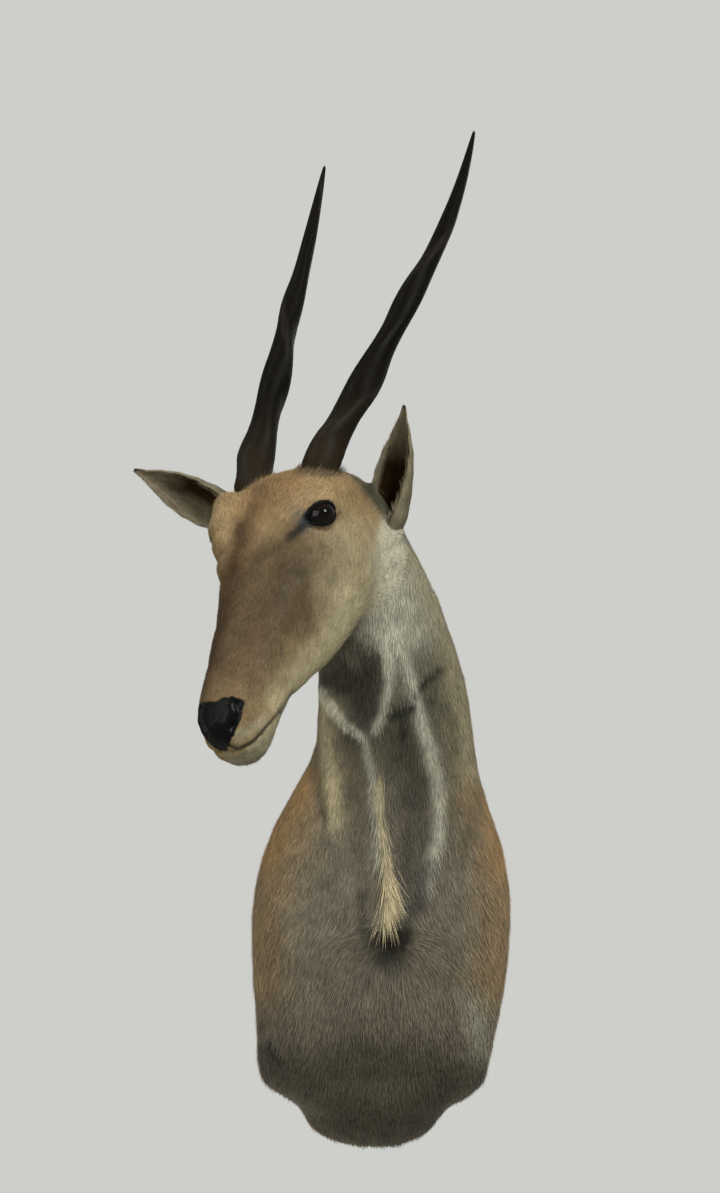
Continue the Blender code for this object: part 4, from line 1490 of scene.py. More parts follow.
class HornTree:
    """Geometry nodes that wind a horn's skin round its line, keel, growth ridges and all."""

    def __init__(self) -> None:
        """Builds the tree."""
        inputs = {
            "Geometry": ("NodeSocketGeometry", None),
            "Rows": ("NodeSocketInt", 100),
            "Around": ("NodeSocketInt", 32),
            "Keel width": ("NodeSocketFloat", 0.8),
            "Second keel": ("NodeSocketFloat", 0.35),
            "Keel mean": ("NodeSocketFloat", 0.38),
            "Ridge height": ("NodeSocketFloat", 0.0006),
            "Material": ("NodeSocketMaterial", None),
        }
        self.tree = group_tree("horn", "GeometryNodeTree", inputs, {"Geometry": "NodeSocketGeometry"})
        self.wiring = Wiring(self.tree)
        self.given = self.tree.nodes["Group Input"].outputs
        wiring, given = self.wiring, self.given
        columns = wiring.math("ADD", given["Around"], 1.0)
        grid = wiring.node("GeometryNodeMeshGrid", {"Vertices X": given["Rows"], "Vertices Y": columns})
        index = wiring.node("GeometryNodeInputIndex").outputs[0]
        row = wiring.math("FLOOR", wiring.math("DIVIDE", wiring.math("ADD", index, 0.5), columns))
        column = wiring.math("SUBTRACT", index, wiring.math("MULTIPLY", row, columns))
        angle = wiring.math("MULTIPLY", wiring.math("DIVIDE", column, given["Around"]), 2 * pi)
        middle, side, across = (self.sampled(name, row, "FLOAT_VECTOR") for name in ("middle", "side", "across"))
        girth, keel, strength, run = (
            self.sampled(name, row, "FLOAT") for name in ("girth", "keel_angle", "strength", "run")
        )
        front = self.bell(wiring.math("SUBTRACT", angle, keel))
        rear = self.bell(wiring.math("SUBTRACT", wiring.math("SUBTRACT", angle, keel), pi))
        swell = wiring.math("SUBTRACT", wiring.math("MULTIPLY_ADD", rear, given["Second keel"], front), given["Keel mean"])
        reach = wiring.math("MULTIPLY", girth, wiring.math("MULTIPLY_ADD", strength, swell, 1.0))
        cosine, sine = wiring.math("COSINE", angle), wiring.math("SINE", angle)
        ridges = self.ridges(run, cosine, sine)
        fade = wiring.ramp(run, 0.05, 0.45, 1.0, 0.12)
        body = wiring.ramp(girth, 0.0, 0.006)
        ridge = wiring.math("MULTIPLY", wiring.math("MULTIPLY", ridges, given["Ridge height"]), fade)
        reach = wiring.math("ADD", reach, wiring.math("MULTIPLY", ridge, body))
        outward = wiring.vector("ADD", wiring.vector("SCALE", side, cosine), wiring.vector("SCALE", across, sine))
        place = wiring.vector("ADD", middle, wiring.vector("SCALE", outward, reach))
        shaped = wiring.node("GeometryNodeSetPosition", {"Geometry": grid.outputs[0], "Position": place}).outputs[0]
        winding = wiring.node("ShaderNodeCombineXYZ", {0: run, 1: angle, 2: front}).outputs[0]
        marked = wiring.node(
            "GeometryNodeStoreNamedAttribute",
            {"Geometry": shaped, "Name": "winding", "Value": winding},
            data_type="FLOAT_VECTOR",
        )
        worn = wiring.node(
            "GeometryNodeStoreNamedAttribute",
            {"Geometry": marked.outputs[0], "Name": "ridge", "Value": ridges},
            data_type="FLOAT",
        )
        merged = wiring.node("GeometryNodeMergeByDistance", {"Geometry": worn.outputs[0], "Distance": 0.00001})
        real = wiring.node("GeometryNodeRealizeInstances", {"Geometry": merged.outputs[0]})
        dressed = wiring.node("GeometryNodeSetMaterial", {"Geometry": real.outputs[0], "Material": given["Material"]})
        wiring.put(self.tree.nodes["Group Output"].inputs[0], dressed.outputs[0])

    def sampled(self, name: str, row: bpy.types.NodeSocket, kind: str) -> bpy.types.NodeSocket:
        """What the line stores at a row.

        Args:
            name: The stored value's name.
            row: Which row.
            kind: Its data type.

        Returns:
            The value's socket.
        """
        stored = self.wiring.node("GeometryNodeInputNamedAttribute", {"Name": name}, data_type=kind).outputs[0]
        inputs = {"Geometry": self.given["Geometry"], "Value": stored, "Index": row}
        return self.wiring.node("GeometryNodeSampleIndex", inputs, data_type=kind, clamp=True).outputs[0]

    def bell(self, offset: bpy.types.NodeSocket) -> bpy.types.NodeSocket:
        """A bell curve over an angle, as wide as the keel.

        Args:
            offset: The angle off its middle.

        Returns:
            The height's socket, 0 to 1.
        """
        wrapped = self.wiring.math("WRAP", offset, pi, -pi)
        share = self.wiring.math("DIVIDE", wrapped, self.given["Keel width"])
        return self.wiring.math("POWER", 2.718282, self.wiring.math("MULTIPLY", self.wiring.math("MULTIPLY", share, share), -1.0))

    def ridges(self, run: object, cosine: object, sine: object) -> bpy.types.NodeSocket:
        """The horn's growth ridges, which run round it in slightly bent arcs.

        Args:
            run: How far up the horn.
            cosine: Across it one way.
            sine: Across it the other way.

        Returns:
            The height's socket, about -1 to 1.
        """
        bent = self.wiring.math("MULTIPLY_ADD", cosine, 0.004, run)
        place = self.wiring.node("ShaderNodeCombineXYZ", {0: bent}).outputs[0]
        sway = self.wiring.vector(
            "SCALE", self.wiring.node("ShaderNodeCombineXYZ", {1: cosine, 2: sine}).outputs[0], 0.0016
        )
        noise = self.wiring.noise(self.wiring.vector("ADD", place, sway), 210.0, 3.0, 0.65)
        return self.wiring.math("MULTIPLY_ADD", noise, 2.0, -1.0)


@dataclass(frozen=True)
class Horn:
    """One horn: where it stands on the crown, where it ends, and how it bends and winds."""

    name: str
    place: Spot
    tip: Spot
    bow: float
    sway: float
    twist: int
    first_keel: float
    base_radius: float = 0.0251
    tip_radius: float = 0.0016
    taper: float = 0.74
    root_taper: float = 5.0
    bow_lateness: float = 1.25
    turns: float = 2.08
    keel: float = 0.34
    keel_start: float = 0.08
    keel_end: float = 0.80
    keel_fade: float = 0.30
    depth: float = 0.022
    rows: int = 420
    around: int = 80

    def base(self) -> np.ndarray:
        """The middle of the horn where it leaves the crown."""
        return HEAD.outward(np.array([self.place]))[0]

    def axis(self, t: np.ndarray) -> np.ndarray:
        """The middle of the horn.

        Args:
            t: Shares of its length from the crown, below 0 inside the head.

        Returns:
            One point in each row.
        """
        late = np.maximum(t, 0)
        out = self.bow * np.sin(pi * late**self.bow_lateness) + self.sway * np.sin(2 * pi * late)
        return self.base() + (np.array(self.tip) - self.base()) * t[:, None] + HEAD.axes()[1] * out[:, None]

    def around_base(self, points: np.ndarray) -> tuple[np.ndarray, np.ndarray, np.ndarray]:
        """Where points lie by the horn's base.

        Args:
            points: Points in space.

        Returns:
            How far up the horn, how far from its middle, and the way up it.
        """
        near = self.axis(np.array([0.0, 0.02]))
        forward = unit(near[1] - near[0])
        run = (points - near[0]) @ forward
        away = np.linalg.norm(points - near[0] - run[:, None] * forward, axis=1)
        return run, away, forward

    def build(self, tree: bpy.types.NodeTree, material: bpy.types.Material) -> bpy.types.Object:
        """Builds the horn.

        Args:
            tree: The tree that winds it round its line.
            material: Its material.

        Returns:
            The horn.
        """
        length = float(np.linalg.norm(np.array(self.tip) - self.base()))
        t = np.linspace(-self.depth / length, 1, self.rows)
        points = self.axis(t)
        forward = unit(self.axis(t + 0.01) - self.axis(t - 0.01))
        across = unit(np.cross(forward, HEAD.axes()[1]))
        girth = self.tip_radius + self.base_radius * np.maximum(1 - np.maximum(t, 0), 0) ** self.taper
        girth *= 1 + np.minimum(t, 0) * self.root_taper
        girth *= np.sqrt(np.clip((1 - t) * length / 0.004, 0, 1))
        girth[0] = 0
        started = np.clip(t / self.keel_start, 0, 1)
        strength = self.keel * started * np.clip((self.keel_end - t) / self.keel_fade, 0, 1)
        made = mesh_object(self.name + "_visual", points, [])
        keep(made, "middle", points)
        keep(made, "side", np.cross(across, forward))
        keep(made, "across", across)
        keep(made, "girth", girth)
        keep(made, "strength", strength)
        keep(made, "keel_angle", radians(self.first_keel) + self.twist * 2 * pi * self.turns * t)
        keep(made, "run", t * length)
        grow(made, tree, {"Rows": self.rows, "Around": self.around, "Material": material})
        close_up(made)
        made.data.shade_smooth()
        return finish_piece(made, "horn", self.name)


HORN_RIGHT = Horn("horn_right", (-0.016, 0.0455, -0.030), (0.142, -0.160, 1.249), 0.0266, -0.0050, 1, 219.0)
HORN_LEFT = Horn("horn_left", (-0.002, -0.0655, -0.030), (-0.088, -0.145, 1.198), -0.0014, -0.0034, -1, 287.0)

HORNS = (HORN_RIGHT, HORN_LEFT)


def horn_material() -> bpy.types.Material:
    """Dark horn: greyer along the keel, partly from wear and partly as painted sheen, browner at the root, scratched
    lengthwise and round.

    Returns:
        The material.
    """
    finish = Finish("dark horn", 0.45, 0.05)
    wiring = finish.wiring
    winding = wiring.node("ShaderNodeSeparateXYZ", {0: finish.stored("winding", "Vector")}).outputs
    run, angle, front = winding
    place = finish.place()
    patches = wiring.noise(place, 26.0, 4.0, 0.6)
    base = wiring.mix(patches, shade(6, 5, 3), shade(19, 16, 11))
    base = wiring.mix(wiring.ramp(run, 0.16, 0.0, 0.0, 0.6), base, shade(48, 40, 26))
    # The keel's front is painted greyer: partly wear, partly painted sheen.
    worn = wiring.math("MULTIPLY", wiring.ramp(front, 0.55, 1.0), wiring.ramp(patches, 0.35, 0.65, 0.15, 0.75))
    base = wiring.mix(worn, base, shade(42, 38, 31))
    turned = wiring.vector("ADD", wiring.node("ShaderNodeCombineXYZ", {0: wiring.math("MULTIPLY", angle, 0.9)}).outputs[0],
                           wiring.node("ShaderNodeCombineXYZ", {1: wiring.math("MULTIPLY", run, 5.0)}).outputs[0])
    lines = wiring.noise(turned, 26.0, 3.0, 0.7)
    base = wiring.mix(wiring.ramp(lines, 0.56, 0.68, 0.0, 0.4), base, shade(50, 43, 31))
    base = wiring.mix(wiring.ramp(lines, 0.44, 0.34, 0.0, 0.6), base, shade(8, 6, 4))
    arcs = wiring.node("ShaderNodeCombineXYZ", {0: wiring.math("MULTIPLY_ADD", angle, 0.0012, run)}).outputs[0]
    rings = wiring.noise(arcs, 900.0, 3.0, 0.7)
    base = wiring.mix(wiring.ramp(rings, 0.55, 0.72, 0.0, 0.3), base, shade(50, 45, 36))
    finish.colour(base)
    finish.rough(wiring.ramp(patches, 0.3, 0.7, 0.34, 0.56))
    height = wiring.math("ADD", wiring.math("MULTIPLY", rings, 0.6), wiring.math("MULTIPLY", lines, 0.6))
    finish.bump(height, 0.0006, 0.7)
    return finish.material


@dataclass(frozen=True)
class Ear:
    """One ear: a cupped leaf from its root to its tip."""

    name: str
    root: Spot
    tip: Spot
    facing: Spot
    bend: float
    pale_side: int
    width: float = 1.12
    thickness: float = 0.0034
    rows: int = 76
    across: int = 46
    start: float = 0.02

    def build(self) -> bpy.types.Object:
        """Builds the ear, with its colours and directions of hair.

        Returns:
            The ear.
        """
        form = Rows(
            (0.00, 0.008, 165),
            (0.06, 0.0155, 155),
            (0.13, 0.0215, 140),
            (0.25, 0.0256, 120),
            (0.45, 0.027, 100),
            (0.65, 0.023, 82),
            (0.82, 0.0135, 68),
            (0.93, 0.0065, 58),
            (1.00, 0.0028, 52),
        )
        way = np.array(self.tip) - np.array(self.root)
        axis = way / np.linalg.norm(way)
        face = unit(np.array(self.facing) - axis * (np.array(self.facing) @ axis))
        side = np.cross(axis, face)
        share = np.linspace(self.start, 1, self.rows)
        radius = form.eased(share, 1) * self.width
        half = np.radians(form.eased(share, 2))
        middle = np.array(self.root) + way * share[:, None] + side * (self.bend * np.sin(pi * share))[:, None]
        turn = np.linspace(-1, 1, self.across)
        turns = np.concatenate([turn, turn[::-1]])
        inner = np.concatenate([np.full(self.across, -1.0), np.full(self.across, 1.0)])
        rim = np.sqrt(np.clip((1 - np.abs(turns)) / 0.06, 0, 1))
        wall = self.thickness / 2 * np.sqrt(np.clip((1.02 - share) / 0.3, 0, 1))
        angle = half[:, None] * turns
        waver = 0.0006 * np.sin(share * 41)[:, None] * np.abs(turns)
        reach = radius[:, None] + (wall[:, None] * inner) * rim + waver
        points = middle[:, None] + (side * np.sin(angle)[..., None] - face * np.cos(angle)[..., None]) * reach[..., None]
        made = loft(self.name, points)
        close_up(made)
        made.data.shade_smooth()
        self.dress_points(made, axis, face, side)
        return made

    def dress_points(self, made: bpy.types.Object, axis: np.ndarray, face: np.ndarray, side: np.ndarray) -> None:
        """Stores the ear's colours, and the way, length and number of its hairs.

        Args:
            made: The ear.
            axis: The way from its root to its tip.
            face: The way that its hollow faces.
            side: The way across it.
        """
        points, normals = read_points(made), read_normals(made)
        offset = points - np.array(self.root)
        share = (offset @ axis) / np.linalg.norm(np.array(self.tip) - np.array(self.root))
        form = Rows((0.0, 150), (0.2, 125), (0.45, 100), (0.65, 82), (0.82, 68), (0.93, 58), (1.0, 52))
        middle = side * (self.bend * np.sin(pi * share))[:, None]
        flat = offset - axis * (offset @ axis)[:, None] - middle
        angle = np.arctan2(flat @ side, -(flat @ face))
        edge = np.clip(np.abs(angle) / np.radians(form.at(share)), 0, 1)
        hollow = smooth((normals * (-unit(flat))).sum(axis=1), -0.2, 0.4)
        rim = smooth(edge, 0.62, 0.95)
        turned = np.clip(angle / np.radians(form.at(share)), -1, 1) * self.pale_side
        pale = np.maximum(rim, smooth(turned, -0.05, 0.5) * 0.9)
        pale = np.maximum(pale, smooth(share, 0.52, 0.80) * 0.85)
        streak = 0.5 + 0.5 * ripple(np.stack([angle * 0.03, share * 0.02, edge * 0], 1), 0.006, 51)
        inside = np.array(Tone.EAR_DEEP.value) + (np.array(Tone.EAR_RIM.value) - np.array(Tone.EAR_DEEP.value)) * (
            np.clip(pale * (0.80 + 0.35 * streak), 0, 1)[:, None]
        )
        outside = np.array(Tone.EAR_BACK.value) + (np.array(Tone.EAR_RIM.value) - np.array(Tone.EAR_BACK.value)) * (
            (rim * 0.6)[:, None]
        )
        coat = outside + (inside - outside) * hollow[:, None]
        tip = smooth(share, 0.955, 0.995)[:, None]
        coat = coat + (np.array(Tone.LID.value) - coat) * tip * 0.85
        keep(made, "coat", coat)
        keep(made, "bare", np.zeros(len(points)))
        over = -side * np.sign(angle)[:, None] * (rim * hollow)[:, None]
        nap = axis + over * 0.7 + (unit(flat) * (1 - hollow)[:, None]) * 0.05
        nap = unit(nap - normals * (nap * normals).sum(axis=1, keepdims=True) * 0.9)
        keep(made, "nap", nap)
        long = 0.0065 + 0.010 * rim * hollow + 0.006 * hollow * smooth(share, 0.3, 0.7)
        keep(made, "hair_length", long * (1 - 0.72 * smooth(share, 0.80, 0.97)))
        many = 260000 * (1 - hollow) + hollow * (60000 + 240000 * pale)
        keep(made, "many", many * smooth(share, 0.995, 0.975))

    def dress(self, coats: Coats, barber: Barber, seed: int) -> None:
        """Builds the ear and its hairs.

        Args:
            coats: The materials.
            barber: What grows hairs.
            seed: The seed of their randomness.
        """
        made = self.build()
        made.data.materials.append(coats.skin)
        hair = barber.grow_on(made, f"hair_of_{self.name}", HairCut(0.00055, 0.12, 0.22), "many", seed, coats.hair)
        finish_piece(made, "hide")
        finish_piece(hair, "hide")


EAR_RIGHT = Ear("ear_right", (0.006, -0.338, 0.617), (0.029, -0.365, 0.812), (-0.66, -0.75, 0.0), -0.006, 1)
EAR_LEFT = Ear("ear_left", (-0.200, -0.345, 0.642), (-0.363, -0.362, 0.717), (0.10, -0.90, -0.42), -0.002, -1)


@dataclass(frozen=True)
class Eye:
    """A glass eye and the lids round it, on one side of the head."""

    name: str
    side: int
    radius: float = 0.0203
    place: Spot = (0.086, 0.083, -0.025)
    gaze: Spot = (0.35, 0.75, 0.50)
    canthus: Spot = (0.42, -0.85, 0.10)
    rear_half: float = 0.0262
    front_half: float = 0.0290
    top_half: float = 0.0138
    bottom_half: float = 0.0140
    wrap: float = 1.0
    leave: float = 0.0020
    land: float = 0.0125
    cornea: float = 0.0011
    dark_rim: float = 0.0047
    lid_points: int = 128

    def frame(self) -> tuple[np.ndarray, np.ndarray]:
        """The eye's middle, and its directions to the front corner, up and out.

        Returns:
            The middle, and one direction in each row.
        """
        mirror = np.array((1, self.side, 1))
        axes = HEAD.axes()
        out = unit((np.array(self.gaze) * mirror) @ axes)
        corner = (np.array(self.canthus) * mirror) @ axes
        corner = unit(corner - out * (corner @ out))
        up = np.cross(out, corner) * self.side
        if up[2] < 0:
            up = -up
        return HEAD.outward(np.array([self.place]) * mirror)[0], np.stack([corner, up, out])

    def build_ball(self, material: bpy.types.Material) -> bpy.types.Object:
        """Builds the glass ball, raised over the iris as a cornea is.

        Args:
            material: Its material.

        Returns:
            The ball.
        """
        shape = bmesh.new()
        bmesh.ops.create_uvsphere(shape, u_segments=96, v_segments=72, radius=1.0)
        mesh = bpy.data.meshes.new(self.name)
        shape.to_mesh(mesh)
        shape.free()
        made = bpy.data.objects.new(self.name + "_visual", mesh)
        bpy.context.scene.collection.objects.link(made)
        local = unit(read_points(made))
        off = np.arccos(np.clip(local[:, 2], -1, 1))
        reach = self.radius + self.cornea * np.clip(1 - (off / 0.62) ** 2, 0, 1) ** 2
        middle, axes = self.frame()
        write_points(made, middle + (local * reach[:, None]) @ axes)
        close_up(made)
        keep(made, "look", local)
        made.data.shade_smooth()
        made.data.materials.append(material)
        return finish_piece(made, "eye_glass", self.name)

    def build_lids(self, hide: bpy.types.Object, coats: Coats, barber: Barber, seed: int) -> None:
        """Builds the lids: a dark rim on the ball, a raised fold, and a slope down to the hide.

        Args:
            hide: The skin that they run out on.
            coats: The materials.
            barber: What grows hairs.
            seed: The seed of their randomness.
        """
        middle, axes = self.frame()
        corner, up, out = axes
        tree = BVHTree.FromPolygons(
            [tuple(point) for point in read_points(hide)], [tuple(face.vertices) for face in hide.data.polygons]
        )
        turn = np.linspace(0, 2 * pi, self.lid_points, endpoint=False)
        half_long = np.where(np.cos(turn) > 0, self.front_half, self.rear_half)
        half_high = np.where(np.sin(turn) > 0, self.top_half, self.bottom_half)
        narrow = 1 - 0.35 * np.clip(np.cos(turn), 0, 1) ** 2
        u, v = half_long * np.cos(turn), half_high * np.sin(turn) * narrow
        away = unit(np.stack([u / half_long**2, v / half_high**2], 1))
        rows = ((-0.0002, -0.0022), (-0.0003, 0.0006), (0.0008, 0.0016), (0.0022, 0.0021), (0.0038, 0.0019),
                (0.0060, 0.0013), (0.0090, 0.0006), (0.0125, 0.0), (0.0160, -0.0002), (0.0190, -0.0018))
        upper = np.sin(turn) > 0
        rings, offs = [], []
        for out_by, lift in rows:
            wide = out_by * (self.wrap if out_by > 0 else 1)
            ring_u, ring_v = u + away[:, 0] * wide, v + away[:, 1] * wide
            arc = np.hypot(ring_u, ring_v)
            turned = np.clip(arc / self.radius, 0, 1.45)
            blend = smooth(np.array([wide]), self.leave, self.land)[0]
            ring = []
            for k in range(self.lid_points):
                fold = lift * (1.7 if upper[k] else 0.85) if lift > 0 else lift
                level = (corner * ring_u[k] + up * ring_v[k]) / arc[k]
                point = middle + (level * sin(turned[k]) + out * cos(turned[k])) * (self.radius + fold)
                flat = middle + corner * ring_u[k] + up * ring_v[k]
                spot, normal = tree.find_nearest(Vector(flat))[:2]
                skin = np.array(spot) + np.array(normal) * lift
                ring.append(point * (1 - blend) + skin * blend)
            rings.append(ring)
            offs.append(np.full(self.lid_points, out_by))
        rings.append([point - out * 0.006 for point in np.array(rings[-1])])
        rings.append([point - out * 0.005 - (point - middle - out * ((point - middle) @ out)) * 0.25 for point in np.array(rings[0])])
        offs += [np.full(self.lid_points, 0.019), np.full(self.lid_points, -0.001)]
        made = loft(f"lids_of_{self.name}", np.array(rings), closed=True)
        out_by = np.concatenate(offs)
        round_by = np.tile(turn, len(rings))
        fixed = bmesh.new()
        fixed.from_mesh(made.data)
        bmesh.ops.recalc_face_normals(fixed, faces=fixed.faces)
        fixed.to_mesh(made.data)
        fixed.free()
        self.dress_lids(made, hide, out_by, round_by)
        made.data.shade_smooth()
        made.data.materials.append(coats.skin)
        fur = barber.grow_on(made, f"hair_of_lids_{self.name}", HairCut(0.00045, 0.16, 0.2), "many", seed, coats.hair)
        lashes = barber.grow_on(
            made, f"lashes_{self.name}", HairCut(0.00042, 1.1, 0.35, 0.35, 3), "many_lashes", seed + 1, coats.hair
        )
        for piece in (made, fur, lashes):
            finish_piece(piece, "hide")

    def dress_lids(self, made: bpy.types.Object, hide: bpy.types.Object, off: np.ndarray, turn: np.ndarray) -> None:
        """Stores the lids' colours and hairs, taking the hide's own where they meet it.

        Args:
            made: The lids.
            hide: The skin, painted and combed.
            off: How far out of the opening each point is.
            turn: How far round it each point is.
        """
        points = read_points(made)
        near = KDTree(len(hide.data.vertices))
        for index, point in enumerate(read_points(hide)):
            near.insert(point, index)
        near.balance()
        nearest = [near.find(point)[1] for point in points]
        values = np.empty(len(hide.data.vertices) * 3)
        hide.data.attributes["coat"].data.foreach_get("vector", values)
        coat = values.reshape(-1, 3)[nearest]
        normals = read_normals(made)
        back = -HEAD.axes()[0] + HEAD.axes()[1] * (0.35 * self.side)
        nap = unit(back - normals * (normals @ back)[:, None])
        jitter = 0.0008 * ripple(points, 0.008, 61)
        upper = np.clip(np.sin(turn), 0, 1)
        pale = np.exp(-(((off - 0.0082) / 0.0026) ** 2)) * (0.9 * upper)
        coat = coat + (np.array(Tone.BLOND.value) - coat) * pale[:, None]
        front = np.clip(np.cos(turn), 0, 1) ** 3
        dark = smooth(off + jitter - 0.8 * self.dark_rim * front, self.dark_rim + 0.0009, self.dark_rim - 0.0009)
        coat = coat + (np.array(Tone.LID.value) - coat) * dark[:, None]
        grey = np.exp(-(((off - 0.0062) / 0.003) ** 2)) * front * 0.7
        coat = coat + (np.array(Tone.LID_GREY.value) - coat) * grey[:, None]
        keep(made, "coat", coat)
        keep(made, "bare", smooth(off, 0.55 * self.dark_rim, 0.25 * self.dark_rim) * 0.25)
        keep(made, "nap", nap)
        keep(made, "hair_length", 0.0038 + 0.0030 * smooth(off, 0.004, 0.014))
        keep(made, "many", 320000 * smooth(off, self.dark_rim - 0.0011, self.dark_rim + 0.0009) * smooth(off, 0.0185, 0.0170))
        rim = np.exp(-(((off - 0.0010) / 0.0008) ** 2)) * (off > 0)
        keep(made, "many_lashes", 900000 * rim * smooth(np.sin(turn), 0.15, 0.5))


EYE_RIGHT = Eye("eye_right", 1)
EYE_LEFT = Eye("eye_left", -1, gaze=(0.05, 0.92, 0.33), front_half=0.0150, rear_half=0.0180, dark_rim=0.0014)


def glass_material() -> bpy.types.Material:
    """A glass eye: a long dark pupil in a deep brown iris under a clear, hard gloss.

    Returns:
        The material.
    """
    finish = Finish("glass eye", 0.12, 0.0)
    wiring = finish.wiring
    look = wiring.node("ShaderNodeSeparateXYZ", {0: finish.stored("look", "Vector")}).outputs
    wide = wiring.math("MULTIPLY", look[0], 0.62)
    pupil = wiring.math("SQRT", wiring.math("ADD", wiring.math("MULTIPLY", wide, wide), wiring.math("MULTIPLY", look[1], look[1])))
    off = wiring.math("ARCCOSINE", look[2])
    spokes = wiring.noise(wiring.node("ShaderNodeCombineXYZ", {0: wiring.math("ARCTAN2", look[0], look[1])}).outputs[0], 14.0, 4.0, 0.7)
    iris = wiring.mix(spokes, shade(10, 6, 4), shade(26, 16, 9))
    inner = wiring.mix(wiring.ramp(pupil, 0.26, 0.34), shade(5, 4, 4), iris)
    ball = wiring.mix(wiring.ramp(off, 0.72, 0.86), inner, shade(8, 7, 7))
    finish.colour(ball)
    finish.shader.inputs["Coat Weight"].default_value = 0.40
    finish.shader.inputs["Coat Roughness"].default_value = 0.02
    finish.shader.inputs["Coat IOR"].default_value = 1.5
    dust = wiring.noise(finish.place(), 260.0, 3.0)
    finish.rough(wiring.ramp(dust, 0.4, 0.8, 0.10, 0.22))
    return finish.material


class StapleTree:
    """Geometry nodes that drive staples along a line, none quite straight."""

    def __init__(self) -> None:
        """Builds the tree."""
        inputs = {
            "Geometry": ("NodeSocketGeometry", None),
            "Staple": ("NodeSocketObject", None),
            "Askew": ("NodeSocketFloat", 0.25),
            "Seed": ("NodeSocketInt", 0),
            "Material": ("NodeSocketMaterial", None),
        }
        self.tree = group_tree("staples", "GeometryNodeTree", inputs, {"Geometry": "NodeSocketGeometry"})
        wiring = Wiring(self.tree)
        given = self.tree.nodes["Group Input"].outputs
        turn = wiring.node("GeometryNodeInputNamedAttribute", {"Name": "turn"}, data_type="FLOAT").outputs[0]
        chance = wiring.node("FunctionNodeRandomValue", {"Seed": given["Seed"]}, data_type="FLOAT").outputs[1]
        askew = wiring.math("MULTIPLY", wiring.math("SUBTRACT", chance, 0.5), given["Askew"])
        spin = wiring.node("ShaderNodeCombineXYZ", {1: wiring.math("ADD", turn, askew)}).outputs[0]
        points = wiring.node("GeometryNodeMeshToPoints", {"Mesh": given["Geometry"]}).outputs[0]
        staple = wiring.node("GeometryNodeObjectInfo", {"Object": given["Staple"], "As Instance": True})
        driven = wiring.node(
            "GeometryNodeInstanceOnPoints",
            {"Points": points, "Instance": staple.outputs["Geometry"], "Rotation": spin},
        )
        real = wiring.node("GeometryNodeRealizeInstances", {"Geometry": driven.outputs[0]})
        dressed = wiring.node("GeometryNodeSetMaterial", {"Geometry": real.outputs[0], "Material": given["Material"]})
        wiring.put(self.tree.nodes["Group Output"].inputs[0], dressed.outputs[0])


